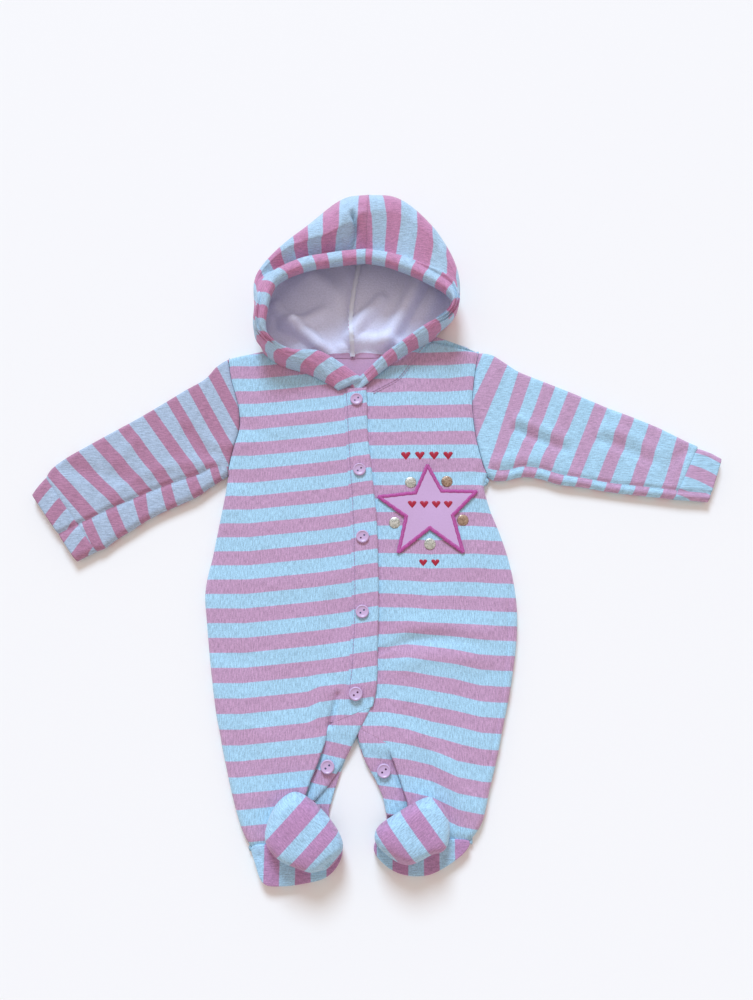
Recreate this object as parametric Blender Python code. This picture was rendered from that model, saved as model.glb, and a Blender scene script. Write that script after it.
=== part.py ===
"""Hooded pramsuit for a new baby, laid on its back with the arms out and the hood open.

The suit lies on the plane z = 0, +Z comes out of its front and +Y runs towards the hood.
"Right" and "left" are the wearer's. Tables and sizes are in millimetres.
"""

import math

import bmesh
import bpy
import numpy as np
from mathutils import Matrix, Vector

SUIT = "hooded_pramsuit"
MM = 0.001
BOX_MIDDLE = Vector((2.0, 3.0, 0.0))     # middle of the laid suit, which becomes the origin
MERGE = 0.001

# Cloth and layers
WALL = 2.8             # fleece-backed jersey
GAP = 0.3              # between pieces at a seam
SEAM_HEIGHT = 4.5      # side, shoulder and sleeve edges, half way up the laid suit
FRONT_TOP = 9.0        # outer face of a front
TUCKED_TOP = 5.9       # outer face of what lies under the placket
EDGE_ROLL = 5.0        # how far in from an edge the cloth turns flat
BAND_THICKNESS = 1.6
STAR_THICKNESS = 1.0
STAR_LIFT = STAR_THICKNESS + 0.6     # its outer face above the front's
MESH_ROLL = (0.0, 0.134, 0.5, 1.0)   # quarter circle in three steps
CORNER_STRETCH = 1.25  # most that a wall grows where its faces turn a corner
PANEL_COLUMNS = 7      # steps across a panel between its rolled edge and its inner edge
BAND_COLUMNS = 4       # points across a band

# Buttons: size 18 line, profile from the middle of the back to the middle of the dish
BUTTON_RADIUS = 5.7
BUTTON_PROFILE = ((0.0, 0.0), (5.0, 0.0), (BUTTON_RADIUS, 0.8), (5.3, 1.9), (4.6, 2.2),
                  (3.9, 1.6), (0.0, 1.3))
BUTTON_STEPS = 18
THREAD_HOLE_RADIUS = 0.9
THREAD_HOLE_OFFSET = Vector((1.5, 1.2, 0.0))
THREAD_HOLE_STEPS = 8
DRILL_LENGTH = 6.0

CLOTH_PINK = (0.63, 0.33, 0.50)
STAR_PINK = (0.72, 0.47, 0.63)
BUTTON_LILAC = (0.66, 0.50, 0.66)

# Armhole seams, shoulder to underarm: x, y
ARMHOLE_RIGHT = np.array((
    (-136, 146), (-133, 128), (-128.5, 112), (-124.5, 98), (-123, 86), (-123.5, 74),
    (-127, 60), (-130, 46), (-131.5, 34)), float)
ARMHOLE_LEFT = np.array((
    (94, 152), (91, 138), (88.5, 122), (86.5, 104), (87, 88), (88.5, 72),
    (91, 58), (94, 45), (98, 33)), float)

# Side seams, underarm to ankle: x, y
SIDE_RIGHT = np.array((
    (-131.5, 34), (-133, 18), (-135.5, 0), (-138.5, -20), (-141.5, -40), (-145, -58),
    (-146, -74), (-143.5, -94), (-140.5, -116), (-137.5, -136), (-134.5, -154),
    (-131.5, -170), (-128, -184), (-125, -197), (-121, -212), (-117, -227),
    (-112, -243), (-105.5, -260), (-98.5, -268)), float)
SIDE_LEFT = np.array((
    (98, 33), (95, 23), (99.5, 3), (107, -18), (113, -38), (117, -58), (119, -78),
    (119, -96), (117, -116), (113.5, -136), (110, -154), (106, -170), (102.5, -184),
    (99.5, -197), (95.5, -212), (91, -227), (87, -243), (83, -254), (74, -264)), float)

# Inner edges of the pieces, row by row with the armhole and side seams beside them: x, y
INNER_FRONT_RIGHT = np.array((
    (-98, 155), (-80, 138), (-60, 128), (-36, 115.5), (-9, 118), (-8, 98), (-8, 78),
    (-6, 57), (-4, 38), (-2, 19), (0, 0), (1, -20), (1.5, -40), (2, -58), (2, -74),
    (2, -94), (1, -116), (1, -134), (0, -150), (-3, -163), (-38.5, -177), (-41.5, -191),
    (-47, -207), (-53, -221), (-58, -236), (-60, -250), (-60, -256)), float)
INNER_FRONT_LEFT = np.array((
    (50, 163), (38, 143), (24, 124.5), (2, 112), (-24, 106), (-24, 86), (-23, 66),
    (-23, 50), (-22, 36), (-21, 22), (-20, 3), (-20, -18), (-19, -38),
    (-19, -58), (-19, -78), (-19, -96), (-19, -116), (-18, -136), (-18, -154),
    (-17, -170), (-16, -181), (8, -193), (14, -207), (19, -221), (24, -236),
    (26, -248), (26, -254)), float)
CENTRE_BACK = np.array((
    (-22, 147), (-21, 120), (-19, 92), (-18, 66), (-17, 44), (-17, 22), (-16, 2),
    (-16, -19), (-15, -39), (-15, -58), (-14, -76), (-14, -95), (-15, -116),
    (-15, -136), (-15.5, -154), (-16, -171), (-16, -188)), float)
NECK_BACK_RIGHT = np.array(((-98, 155), (-80, 151), (-60, 149), (-42, 148)), float)
NECK_BACK_LEFT = np.array(((50, 163), (33, 156), (20, 151.5), (2, 148)), float)
INSIDE_LEG_RIGHT = np.array((
    (-23, -199), (-29, -214), (-34, -229), (-38, -243), (-38, -253), (-38, -258)), float)
INSIDE_LEG_LEFT = np.array((
    (-12, -200), (-4, -215), (3, -228), (8, -241), (8, -250), (10, -256)), float)

# Sleeve sections from just past the armhole to the cuff seam:
# top_x, top_y, under_x, under_y, seam_up (underarm seam, distance up from the lower edge)
SLEEVE_RIGHT = (
    (-147, 138, -146, 24, 17), (-157, 126, -158, 15, 20), (-176, 114, -172, 8, 22),
    (-196, 100.5, -186, 1.5, 23), (-216, 87.5, -200, -6, 24), (-236, 75.5, -213, -15, 26),
    (-256, 63.5, -225, -23, 28), (-276, 51, -235, -31, 30), (-288, 41, -240, -33, 30),
    (-293, 32, -242.5, -33.8, 30))
SLEEVE_LEFT = (
    (106, 150, 105, 29.5, 9), (118, 142, 116, 30, 9), (130, 133.5, 130, 33, 9),
    (148, 125.5, 146, 31, 9), (168, 117, 162, 26, 9), (190, 107, 182, 23.5, 8),
    (212, 97, 204, 19.5, 8), (234, 88, 224, 17, 8), (256, 78, 242, 15, 8),
    (276, 67, 256, 13.5, 8), (287.5, 61.5, 262, 12.5, 8))
CUFF_RIGHT = ((-293.3, 31.2, -243, -34.4, 30), (-299, 24, -250, -38, 30),
              (-303, 17, -258, -42.5, 30))
CUFF_LEFT = ((288.2, 60.8, 262.8, 12.2, 8), (297, 57, 272, 11, 8), (307, 50, 284, 8, 8))
SLEEVE_AWAY = 0.4                  # sideways from the armhole seam's line
CUFF_PLACES = (0.33, 0.66)         # steps across a cuff
ARMHOLE_SEAM_UP = 8.0
UNDERARM_DEPTH = 1.6
GROOVE_HALF_WIDTH = 1.5
GROOVE_SHAPE = (0.35, 1.0, 0.5)    # depth above, on and below the underarm seam

# The left front slopes down under the placket: where it is flat from (x at the chest and
# between the legs), how wide the slope is, and how far below the shoulders it narrows
TUCK_FLAT_FROM = (30.0, 2.0)
TUCK_SLOPE = 22.0
TUCK_NARROWS = (150.0, 200.0)

# Folds that lift or sink the front layer: from_x, from_y, to_x, to_y, half_width, height
FOLDS = {
    "front_right": ((-92, -186, -84, -228, 10, 1.8), (-38, -78, -37, -140, 8, -1.3),
                    (-122, 60, -96, 72, 9, 1.2), (-46, 92, -78, 84, 9, 1.2)),
    "front_left": ((4, -112, 100, -106, 9, -1.9), (8, -126, 84, -122, 9, 2.0),
                   (34, -188, 72, -236, 12, 2.2), (92, 22, 62, 12, 8, 1.5)),
    "sleeve_right": ((-278, 40, -214, 28, 9, -1.4), (-166, 74, -150, 52, 8, -1.5)),
    "sleeve_left": ((128, 74, 168, 59, 7, -1.5), (204, 62, 246, 42, 8, -1.4)),
}

# Hood stations from the front neck end, round the side, to the centre seam:
# rim_x, rim_y, rim_z, bulge_x, bulge_y, bulge_z, dip, lift, tuck, neck_x, neck_y, neck_z
# dip and lift sink and raise the cloth between rim and bulge; tuck is how far in from the
# bulge the cloth reaches the ground, 0 where it stands on the front neck seam.
HOOD_RIGHT = (
    (-12, 126, 15.5, -16, 122, 13, 0, 0, 0, -18.5, 118.4, 9.6),
    (-30, 134, 20, -32, 126, 17, 0, 0, 0, -36, 116.9, 9.6),
    (-52, 144, 25.5, -57, 133, 19.5, 0, 0, 0, -59.5, 129.3, 9.6),
    (-80, 147, 33, -86, 143, 21, 0, 0, 0, -80, 139.2, 9.6),
    (-96, 156, 42, -110, 160, 22, 0, 1, 0, -98.5, 157, 9),
    (-95, 178, 50, -111, 182, 24, 0, 2, 10, -80, 151.6, 0),
    (-85, 201, 50, -109, 213, 24, 1, 3, 10, -60, 149.6, 0),
    (-62, 214, 47, -84, 251, 22, 3, 8, 11, -42, 148.6, 0),
    (-36, 221, 44, -51, 282, 20, 5, 12, 12, -32, 147.9, 0),
    (-12, 225, 43, -8, 300, 18, 4, 14, 12, -22, 147.6, 0))
HOOD_LEFT = (
    (-6, 121, 13.5, -5, 116, 11, 0, 0, 0, -5, 112.4, 6.9),
    (8, 134, 20, 10, 124, 16, 0, 0, 0, 13, 118.4, 9.6),
    (24, 145, 27, 30, 135, 19, 0, 0, 0, 29.6, 131.6, 9.6),
    (48, 155.5, 37, 52, 149, 21, 0, 0, 0, 41, 149, 9.6),
    (62, 165, 43, 63, 168, 22, 0, 1, 0, 50.5, 165, 9),
    (68, 183, 47, 74, 190, 24, 0, 2, 10, 33, 156.7, 0),
    (60, 195, 48, 76, 220, 24, 1, 3, 10, 20, 152.2, 0),
    (38, 209, 46, 64, 253, 22, 3, 8, 11, 6, 149.1, 0),
    (14, 221, 44, 36, 286, 20, 5, 12, 12, -8, 147.9, 0),
    (-11.7, 225, 43, -7.7, 300, 18, 4, 14, 12, -21.7, 147.6, 0))
HOOD_MIDDLE = (-20.0, 190.0, 25.0)
HOOD_SEAM_ACROSS = (1.0, -0.07, 0.0)
HOOD_DIP_AT, HOOD_LIFT_AT = 0.35, 0.72   # how far from the rim to the bulge they lie
HOOD_ROWS_PER_STATION = 2
HOOD_COLUMNS = 15

# Placket band, neck to crotch: stitched_x, free_x, y
PLACKET = ((-30, -9.4, 115.4), (-29, -8.4, 98), (-28, -8.4, 78), (-26.5, -6.4, 57),
           (-25.5, -4.4, 38), (-24, -2.4, 19), (-23, -0.4, 0), (-22, 0.6, -20),
           (-21.5, 1.1, -40), (-21, 1.6, -58), (-21, 1.6, -74), (-21, 1.6, -94),
           (-22, 0.6, -116), (-23, 0.6, -134), (-25, -0.4, -150), (-28, -3, -162.5))

# Inside-leg bands: outer_x, outer_y, inner_x, inner_y, top_z
LEG_BAND_RIGHT = (
    (-38.0, -177.8, -4.2, -163.9, 9), (-41, -191, -17.3, -189, 9),
    (-44, -200, -23, -200.5, 6.2), (-46.5, -207, -28, -209, 5.9),
    (-52.5, -221, -38, -224, 5.9), (-57.5, -236, -50, -237, 5.9))
LEG_BAND_LEFT = (
    (6.6, -193.4, -15.4, -183.4, 5.9), (8, -195, -14.5, -190, 5.9), (13.6, -207, -9, -207, 5.9),
    (18.5, -221, -1, -220, 5.9), (23.5, -236, 5, -233, 5.9), (25.5, -248, 8, -247, 5.9))

# Buttons: name, x, y, the piece it is sewn on
BUTTONS = (("button_1", -18, 104, "placket"), ("button_2", -15, 38, "placket"),
           ("button_3", -12, -22, "placket"), ("button_4", -12, -86, "placket"),
           ("button_5", -17, -153, "placket"), ("button_leg_right", -39.5, -210, "band"),
           ("button_leg_left", 6, -213, "band"))

# Star: x, y of the five tips, then of the notches after each
STAR_TIPS = ((45, 42), (87, 18), (74, -35), (19, -35), (2, 14))
STAR_NOTCHES = ((57, 19), (66, -3), (46, -14), (26, -4), (34, 17))
STAR_STEPS = (0.0, 0.34, 0.67)     # along each side of the outline
STAR_RINGS = (1.0, 0.66, 0.33)     # its outline drawn in towards the middle

# Feet, turned up over the shins: outlines in x, y
VAMP_RIGHT = ((-65, -228), (-78, -236), (-85, -250), (-86, -264), (-76, -276), (-60, -283),
              (-46, -286), (-33, -280), (-26, -267), (-34, -251), (-50, -235))
VAMP_LEFT = ((42, -232), (52, -238), (57, -252), (54, -268), (42, -274), (24, -281),
             (8, -274), (-1, -264), (1, -254), (14, -245), (28, -237))
SOLE_RIGHT = ((-98, -269), (-95, -282), (-88, -296), (-74, -298), (-56, -296), (-40, -292),
              (-30, -283), (-27, -271), (-36, -260), (-60, -263), (-82, -267))
SOLE_LEFT = ((73, -265), (70, -273), (56, -283), (40, -290), (22, -290), (8, -284),
             (-2, -273), (2, -262), (12, -259.5), (36, -262), (58, -263.5))
# A foot's loops from its base up: scale of the outline, z
VAMP_LOOPS = ((0.84, 9.4), (0.97, 12.0), (1.0, 16.0), (0.94, 22.0), (0.8, 26.5), (0.55, 30.0),
              (0.25, 31.5))
SOLE_LOOPS = ((0.90, 0.0), (0.97, 1.2), (1.0, 4.0), (0.97, 7.0), (0.90, 9.0))


def clear_scene():
    """Removes whatever the scene holds."""
    for thing in list(bpy.data.objects):
        bpy.data.objects.remove(thing, do_unlink=True)


def material(name, colour, roughness):
    """A Principled BSDF of one colour."""
    made = bpy.data.materials.new(name)
    made.use_nodes = True
    shader = made.node_tree.nodes["Principled BSDF"]
    shader.inputs["Base Color"].default_value = (*colour, 1.0)
    shader.inputs["Roughness"].default_value = roughness
    shader.inputs["Metallic"].default_value = 0.0
    return made


def finish_piece(name, bm, look, collection, origin=BOX_MIDDLE):
    """Turns a bmesh in millimetres into a named object in metres."""
    bmesh.ops.translate(bm, vec=-origin, verts=bm.verts)
    bmesh.ops.scale(bm, vec=(MM, MM, MM), verts=bm.verts)
    mesh = bpy.data.meshes.new(name)
    bm.to_mesh(mesh)
    bm.free()
    mesh.materials.append(look)
    mesh.shade_smooth()
    mesh.set_sharp_from_angle(angle=math.radians(50))
    piece = bpy.data.objects.new(name, mesh)
    collection.objects.link(piece)
    return piece


def smooth(value, low, high):
    """0 below low, 1 above high, eased between."""
    t = np.clip((np.asarray(value, float) - low) / (high - low), 0.0, 1.0)
    return t * t * (3.0 - 2.0 * t)


def distance_to(points, line):
    """Shortest plan distance from each point to a line of straight stretches."""
    nearest = np.full(len(points), np.inf)
    for start, end in zip(line[:-1], line[1:]):
        along = end - start
        t = np.clip(((points - start) @ along) / (along @ along), 0.0, 1.0)
        nearest = np.minimum(nearest, np.hypot(*(points - start - t[:, None] * along).T))
    return nearest


def sleeve_edges(armhole, sleeve, cuff):
    """The top and the under edge of an arm, from armhole to cuff end."""
    rows = np.array(sleeve + cuff, float)
    return (np.vstack((armhole[:1], rows[:, 0:2])), np.vstack((armhole[-1:], rows[:, 2:4])))


def outline_edges():
    """Every edge where front and back cloth turn into each other."""
    edges = [SIDE_RIGHT, SIDE_LEFT, np.array(((-136, 146), (-98, 155)), float),
             np.array(((94, 152), (50, 163)), float)]
    edges.extend(sleeve_edges(ARMHOLE_RIGHT, SLEEVE_RIGHT, CUFF_RIGHT))
    edges.extend(sleeve_edges(ARMHOLE_LEFT, SLEEVE_LEFT, CUFF_LEFT))
    return edges


OUTLINE = outline_edges()


def roll(points):
    """0 on the outline, 1 where the cloth lies flat, on a quarter circle between."""
    nearest = np.min([distance_to(points, edge) for edge in OUTLINE], axis=0)
    t = np.clip(nearest / EDGE_ROLL, 0.0, 1.0)
    return np.sqrt(1.0 - (1.0 - t) ** 2)


def fold_height(points, piece):
    """How far the piece's folds lift or sink it at each point."""
    total = np.zeros(len(points))
    for from_x, from_y, to_x, to_y, half_width, height in FOLDS.get(piece, ()):
        line = np.array(((from_x, from_y), (to_x, to_y)), float)
        total += height * np.exp(-(distance_to(points, line) / half_width) ** 2)
    return total


def front_height(points, piece, seam=SEAM_HEIGHT + GAP / 2):
    """Height of the outer face of the front layer."""
    return seam + (FRONT_TOP - seam + fold_height(points, piece)) * roll(points)


def back_height(points, seam=SEAM_HEIGHT - GAP / 2):
    """Height of the outer face of the back layer, flat on the ground inside the outline."""
    return seam * (1.0 - roll(points))


def front_right_height(points):
    """The right front, which lies on top at the placket."""
    return front_height(points, "front_right")


def front_left_height(points):
    """The left front, which dips under the placket."""
    below = smooth(-points[:, 1], *TUCK_NARROWS)
    flat_from = TUCK_FLAT_FROM[0] + (TUCK_FLAT_FROM[1] - TUCK_FLAT_FROM[0]) * below
    dip = 1.0 - smooth(points[:, 0], flat_from - TUCK_SLOPE, flat_from)
    flat = front_height(points, "front_left")
    return flat + dip * (np.minimum(flat, TUCKED_TOP) - flat)


def grid_mesh(bm, points):
    """Adds an open sheet through a grid of points, rows by columns, and gives its vertices."""
    rows, columns = points.shape[:2]
    made = bmesh.ops.create_grid(bm, x_segments=columns - 1, y_segments=rows - 1, size=1.0)
    for vert, place in zip(made["verts"], points.reshape(-1, 3)):
        vert.co = place
    return made["verts"]


def face_away(bm, centre):
    """Turns the faces of an open sheet so that they point away from a place inside it."""
    bm.normal_update()
    outward = sum(face.normal.dot(face.calc_center_median() - centre) * face.calc_area()
                  for face in bm.faces)
    if outward < 0:
        bmesh.ops.reverse_faces(bm, faces=bm.faces[:])
        bm.normal_update()


def close_wall(bm, thickness, centre, seams=()):
    """Gives an open sheet a wall: it is copied inwards, and the rims are joined.

    Where the rim stands on a seam between front and back, the wall is measured level, so
    that the two pieces meet there face to face. Each of the other seams is a place and the
    direction across it, and near that place the wall is measured square to the direction.
    """
    face_away(bm, centre)
    inward = {}
    for vert in bm.verts:
        normal = vert.normal.copy()
        if vert.is_boundary and abs(vert.co.z - SEAM_HEIGHT) < GAP:
            normal.z = 0.0
        if vert.is_boundary and seams:
            across = min(seams, key=lambda seam: (vert.co - seam[0]).length)[1]
            normal -= across * normal.dot(across)
        normal.normalize()
        inward[vert] = normal * -thickness * min(vert.calc_shell_factor(), CORNER_STRETCH)
    rim = [edge for edge in bm.edges if edge.is_boundary]
    copied = bmesh.ops.duplicate(bm, geom=bm.verts[:] + bm.edges[:] + bm.faces[:])
    twin = copied["vert_map"]
    for vert, shift in inward.items():
        twin[vert].co = vert.co + shift
    bmesh.ops.reverse_faces(bm, faces=[item for item in copied["geom"]
                                       if isinstance(item, bmesh.types.BMFace)])
    for edge in rim:
        start, end = edge.link_loops[0].vert, edge.link_loops[0].link_loop_next.vert
        bm.faces.new((end, start, twin[start], twin[end]))


def edge_rows(outer, inner):
    """Adds the rows that carry the roll below the shoulder seam."""
    drop = np.hypot(*(outer[1] - outer[0]))
    steps = [0.0] + [step * EDGE_ROLL / drop for step in MESH_ROLL[1:]]
    return (np.vstack([outer[0] + (outer[1] - outer[0]) * step for step in steps] + [outer[1:]]),
            np.vstack([inner[0] + (inner[1] - inner[0]) * step for step in steps] + [inner[1:]]))


def panel_grid(outer, inner, height):
    """Rows of points between two edges, closer together over the rolled outer edge."""
    plan = []
    for start, end in zip(outer, inner):
        width = np.hypot(*(end - start))
        near = [step * EDGE_ROLL / width for step in MESH_ROLL]
        far = np.linspace(near[-1], 1.0, PANEL_COLUMNS + 1)[1:]
        plan.append(start + (end - start) * np.concatenate((near, far))[:, None])
    plan = np.array(plan)
    return np.dstack((plan, height(plan.reshape(-1, 2)).reshape(plan.shape[:2])))


def front_panel(name, armhole, side, inner, height, look, collection):
    """A front, from the shoulder seam to the ankle."""
    outer, inner = edge_rows(np.vstack((armhole, side[1:])), inner)
    bm = bmesh.new()
    grid_mesh(bm, panel_grid(outer, inner, height))
    close_wall(bm, WALL, Vector((*inner.mean(axis=0), SEAM_HEIGHT)))
    return finish_piece(name, bm, look, collection)


def back_panel(look, collection):
    """The back: one piece of cloth, split only between the legs."""
    bm = bmesh.new()
    for armhole, side, neck, leg, turned in (
            (ARMHOLE_RIGHT, SIDE_RIGHT, NECK_BACK_RIGHT, INSIDE_LEG_RIGHT, False),
            (ARMHOLE_LEFT, SIDE_LEFT, NECK_BACK_LEFT, INSIDE_LEG_LEFT, True)):
        inner = np.vstack((neck, CENTRE_BACK, leg))
        outer, inner = edge_rows(np.vstack((armhole, side[1:])), inner)
        verts = grid_mesh(bm, panel_grid(outer, inner, back_height))
        if turned:
            faces = {face for vert in verts for face in vert.link_faces}
            bmesh.ops.reverse_faces(bm, faces=list(faces))
    bmesh.ops.remove_doubles(bm, verts=bm.verts[:], dist=MERGE)
    close_wall(bm, WALL, Vector((*CENTRE_BACK.mean(axis=0), SEAM_HEIGHT)))
    return finish_piece("back", bm, look, collection)


def section_places(length, seam_up, inner_places):
    """Distances along a sleeve section, from its top edge to its lower edge."""
    rolled = [step * EDGE_ROLL for step in MESH_ROLL]
    seam = [length - seam_up + side * GROOVE_HALF_WIDTH for side in (-1, 0, 1)]
    middle = rolled[-1] + np.array(inner_places) * (seam[0] - rolled[-1])
    return np.concatenate((rolled, middle, seam, length - np.array(rolled[::-1])))


def groove(count, depth):
    """How deep the underarm seam dents each place of a section."""
    dent = np.zeros(count)
    below = count - len(MESH_ROLL)
    dent[below - len(GROOVE_SHAPE):below] = np.array(GROOVE_SHAPE) * depth
    return dent


def along_line(line, distances):
    """Points at these distances along a line of straight stretches."""
    steps = np.hypot(*np.diff(line, axis=0).T)
    passed = np.concatenate(((0.0,), np.cumsum(steps)))
    return np.column_stack([np.interp(distances, passed, line[:, axis]) for axis in (0, 1)])


def line_length(line):
    """Length of a line of straight stretches."""
    return np.hypot(*np.diff(line, axis=0).T).sum()


def tube_piece(name, plans, dents, look, collection):
    """A flattened tube through plan sections, laid with its front layer over its back one."""
    rings = []
    for plan, dent in zip(plans, dents):
        front = front_height(plan, name.replace("cuff", "sleeve"), SEAM_HEIGHT) - dent
        back = back_height(plan, SEAM_HEIGHT)
        over = np.column_stack((plan, front))
        under = np.column_stack((plan, back))[::-1]
        rings.append(np.vstack((over, under[1:])))
    points = np.array(rings)
    bm = bmesh.new()
    grid_mesh(bm, points)
    bmesh.ops.remove_doubles(bm, verts=bm.verts[:], dist=MERGE)
    seams = []
    for plan in (plans[0], plans[-1]):
        along = plan[-1] - plan[0]
        across = Vector((along[1], -along[0], 0.0)).normalized()
        seams.append((Vector((*plan.mean(axis=0), SEAM_HEIGHT)), across))
    close_wall(bm, WALL, Vector(points.reshape(-1, 3).mean(axis=0)), seams)
    return finish_piece(name, bm, look, collection)


def sleeve(name, armhole, table, away, depth, look, collection):
    """A sleeve from the armhole to the cuff seam."""
    length = line_length(armhole)
    corners = np.array([line_length(armhole[:count]) for count in range(2, len(armhole))])
    last = length - ARMHOLE_SEAM_UP - GROOVE_HALF_WIDTH
    inner_places = [(corner - EDGE_ROLL) / (last - EDGE_ROLL) for corner in corners
                    if corner < last]
    places = section_places(length, ARMHOLE_SEAM_UP, inner_places)
    plans = [along_line(armhole, places) + np.array((away, 0.0))]
    for top_x, top_y, under_x, under_y, seam_up in table:
        section = np.array(((top_x, top_y), (under_x, under_y)), float)
        places = section_places(line_length(section), seam_up, inner_places)
        plans.append(along_line(section, places))
    dents = [groove(len(plans[0]), depth * min(1.0, index / 2)) for index in range(len(plans))]
    return tube_piece(name, plans, dents, look, collection)


def cuff(name, table, depth, look, collection):
    """A cuff, the width of the sleeve's end."""
    plans = []
    for top_x, top_y, under_x, under_y, seam_up in table:
        section = np.array(((top_x, top_y), (under_x, under_y)), float)
        plans.append(along_line(section, section_places(
            line_length(section), seam_up, CUFF_PLACES)))
    dents = [groove(len(plans[0]), depth)] * len(plans)
    return tube_piece(name, plans, dents, look, collection)


def strip(name, plans, tops, thickness, look, collection):
    """A flat strip of cloth through pairs of edge points, its outer face at given heights."""
    rows = []
    for (start, end), top in zip(plans, tops):
        plan = start + (end - start) * np.linspace(0.0, 1.0, BAND_COLUMNS)[:, None]
        rows.append(np.column_stack((plan, top(plan))))
    bm = bmesh.new()
    grid_mesh(bm, np.array(rows))
    close_wall(bm, thickness, Vector((*rows[0][0, :2], 0.0)))
    return finish_piece(name, bm, look, collection)


def placket_height(points):
    """Outer face of the placket band, which lies on the right front."""
    return front_right_height(points) + GAP + BAND_THICKNESS


def placket(look, collection):
    """The band along the right front's free edge."""
    plans = [np.array(((stitched, y), (free, y)), float) for stitched, free, y in PLACKET]
    return strip("placket_band", plans, [placket_height] * len(plans), BAND_THICKNESS,
                 look, collection)


def leg_band(name, table, look, collection):
    """An inside-leg band between the folded front and the inner edge of the leg."""
    plans = [np.array(((outer_x, outer_y), (inner_x, inner_y)), float)
             for outer_x, outer_y, inner_x, inner_y, _ in table]
    tops = [lambda points, top=row[4]: np.full(len(points), float(top)) for row in table]
    return strip(name, plans, tops, WALL, look, collection)


def through(points, places):
    """Points on the smooth curve through the given ones; place 1.5 is half way past the second."""
    points = np.asarray(points, float)
    last = len(points) - 1
    before = np.vstack((2 * points[:1] - points[1:2], points, 2 * points[-1:] - points[-2:-1]))
    found = []
    for place in places:
        index = min(int(place), last - 1)
        t = place - index
        a, b, c, d = before[index:index + 4]
        found.append(0.5 * (2 * b + (c - a) * t + (2 * a - 5 * b + 4 * c - d) * t ** 2
                            + (3 * b - a - 3 * c + d) * t ** 3))
    return np.array(found)


def hood_station(row):
    """The six guide points of one hood station, from the rim to the neck seam."""
    rim, bulge, neck = (np.array(row[start:start + 3], float) for start in (0, 3, 9))
    dip, lift, tuck = row[6:9]
    fold = rim + (bulge - rim) * HOOD_DIP_AT - np.array((0, 0, dip))
    crown = rim + (bulge - rim) * HOOD_LIFT_AT + np.array((0, 0, lift))
    ground = (bulge + neck) / 2
    if tuck:
        inward = (neck - bulge)[:2]
        ground = np.array((*(bulge[:2] + inward / np.hypot(*inward) * tuck), 0.0))
    return np.array((rim, fold, crown, bulge, ground, neck))


def hood_half(name, table, look, collection):
    """Half of the hood, from its rim round the outside to the neck and centre seams."""
    stations = np.array([hood_station(row) for row in table])
    count, guide_count = stations.shape[:2]
    rows = np.linspace(0.0, count - 1, (count - 1) * HOOD_ROWS_PER_STATION + 1)
    guides = np.array([through(stations[:, guide], rows) for guide in range(guide_count)])
    columns = np.linspace(0.0, guide_count - 1, HOOD_COLUMNS)
    points = np.array([through(guides[:, row], columns) for row in range(len(rows))])
    points[..., 2] = np.maximum(points[..., 2], 0.0)
    bm = bmesh.new()
    grid_mesh(bm, points)
    across = Vector(HOOD_SEAM_ACROSS).normalized()
    side = Vector(points[len(rows) // 3, 0])
    close_wall(bm, WALL, Vector(HOOD_MIDDLE),
               [(Vector(place), across) for place in points[-1]] + [(side, Vector())])
    return finish_piece(name, bm, look, collection)


def closed_outline(corners, steps):
    """A smooth closed outline through its corners."""
    corners = np.array(corners, float)
    wrapped = np.vstack((corners[-1:], corners, corners[:2]))
    places = 1.0 + np.arange(len(corners) * steps) / steps
    return through(wrapped, places)


def foot_solid(name, corners, loops, look, collection):
    """Half of a folded foot: rounded, its hidden layers in one, lofted from its base up."""
    outline = closed_outline(corners, 2)
    middle = outline.mean(axis=0)
    bm = bmesh.new()
    rings = []
    for scale, z in loops:
        plan = middle + (outline - middle) * scale
        rings.append([bm.verts.new((x, y, z)) for x, y in plan])
    for lower, upper in zip(rings[:-1], rings[1:]):
        for index in range(len(lower)):
            after = (index + 1) % len(lower)
            bm.faces.new((lower[index], lower[after], upper[after], upper[index]))
    for ring in (rings[0], rings[-1]):
        bm.faces.new(ring)
    bmesh.ops.recalc_face_normals(bm, faces=bm.faces[:])
    return finish_piece(name, bm, look, collection)


def button_mesh(look, cutters):
    """A rimmed two-hole button standing on z = 0."""
    bm = bmesh.new()
    verts = [bm.verts.new((radius, 0.0, z)) for radius, z in BUTTON_PROFILE]
    edges = [bm.edges.new(pair) for pair in zip(verts[:-1], verts[1:])]
    bmesh.ops.spin(bm, geom=verts + edges, cent=(0, 0, 0), axis=(0, 0, 1),
                   angle=math.tau, steps=BUTTON_STEPS, use_merge=True, use_duplicate=False)
    bmesh.ops.remove_doubles(bm, verts=bm.verts[:], dist=MERGE)
    bmesh.ops.recalc_face_normals(bm, faces=bm.faces[:])
    blank = finish_piece("button_blank", bm, look, cutters, Vector())
    drill = bmesh.new()
    for side in (-1, 1):
        place = Matrix.Translation(THREAD_HOLE_OFFSET * side)
        bmesh.ops.create_cone(drill, cap_ends=True, segments=THREAD_HOLE_STEPS,
                              radius1=THREAD_HOLE_RADIUS, radius2=THREAD_HOLE_RADIUS,
                              depth=DRILL_LENGTH, matrix=place)
    drill_piece = finish_piece("button_holes", drill, look, cutters, Vector())
    for piece in (blank, drill_piece):
        piece.hide_render = True
        piece.display_type = "WIRE"
    cut = blank.modifiers.new("thread holes", "BOOLEAN")
    cut.object = drill_piece
    cut.operation = "DIFFERENCE"
    bpy.context.view_layer.update()
    graph = bpy.context.evaluated_depsgraph_get()
    return bpy.data.meshes.new_from_object(blank.evaluated_get(graph))


def buttons(look, collection, cutters):
    """Every button on the band it is sewn to."""
    mesh = button_mesh(look, cutters)
    for name, x, y, carrier in BUTTONS:
        top = TUCKED_TOP
        if carrier == "placket":
            top = placket_height(np.array(((x, y),), float))[0]
        piece = bpy.data.objects.new(name, mesh)
        piece.location = (Vector((x, y, top + GAP)) - BOX_MIDDLE) * MM
        collection.objects.link(piece)


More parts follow.
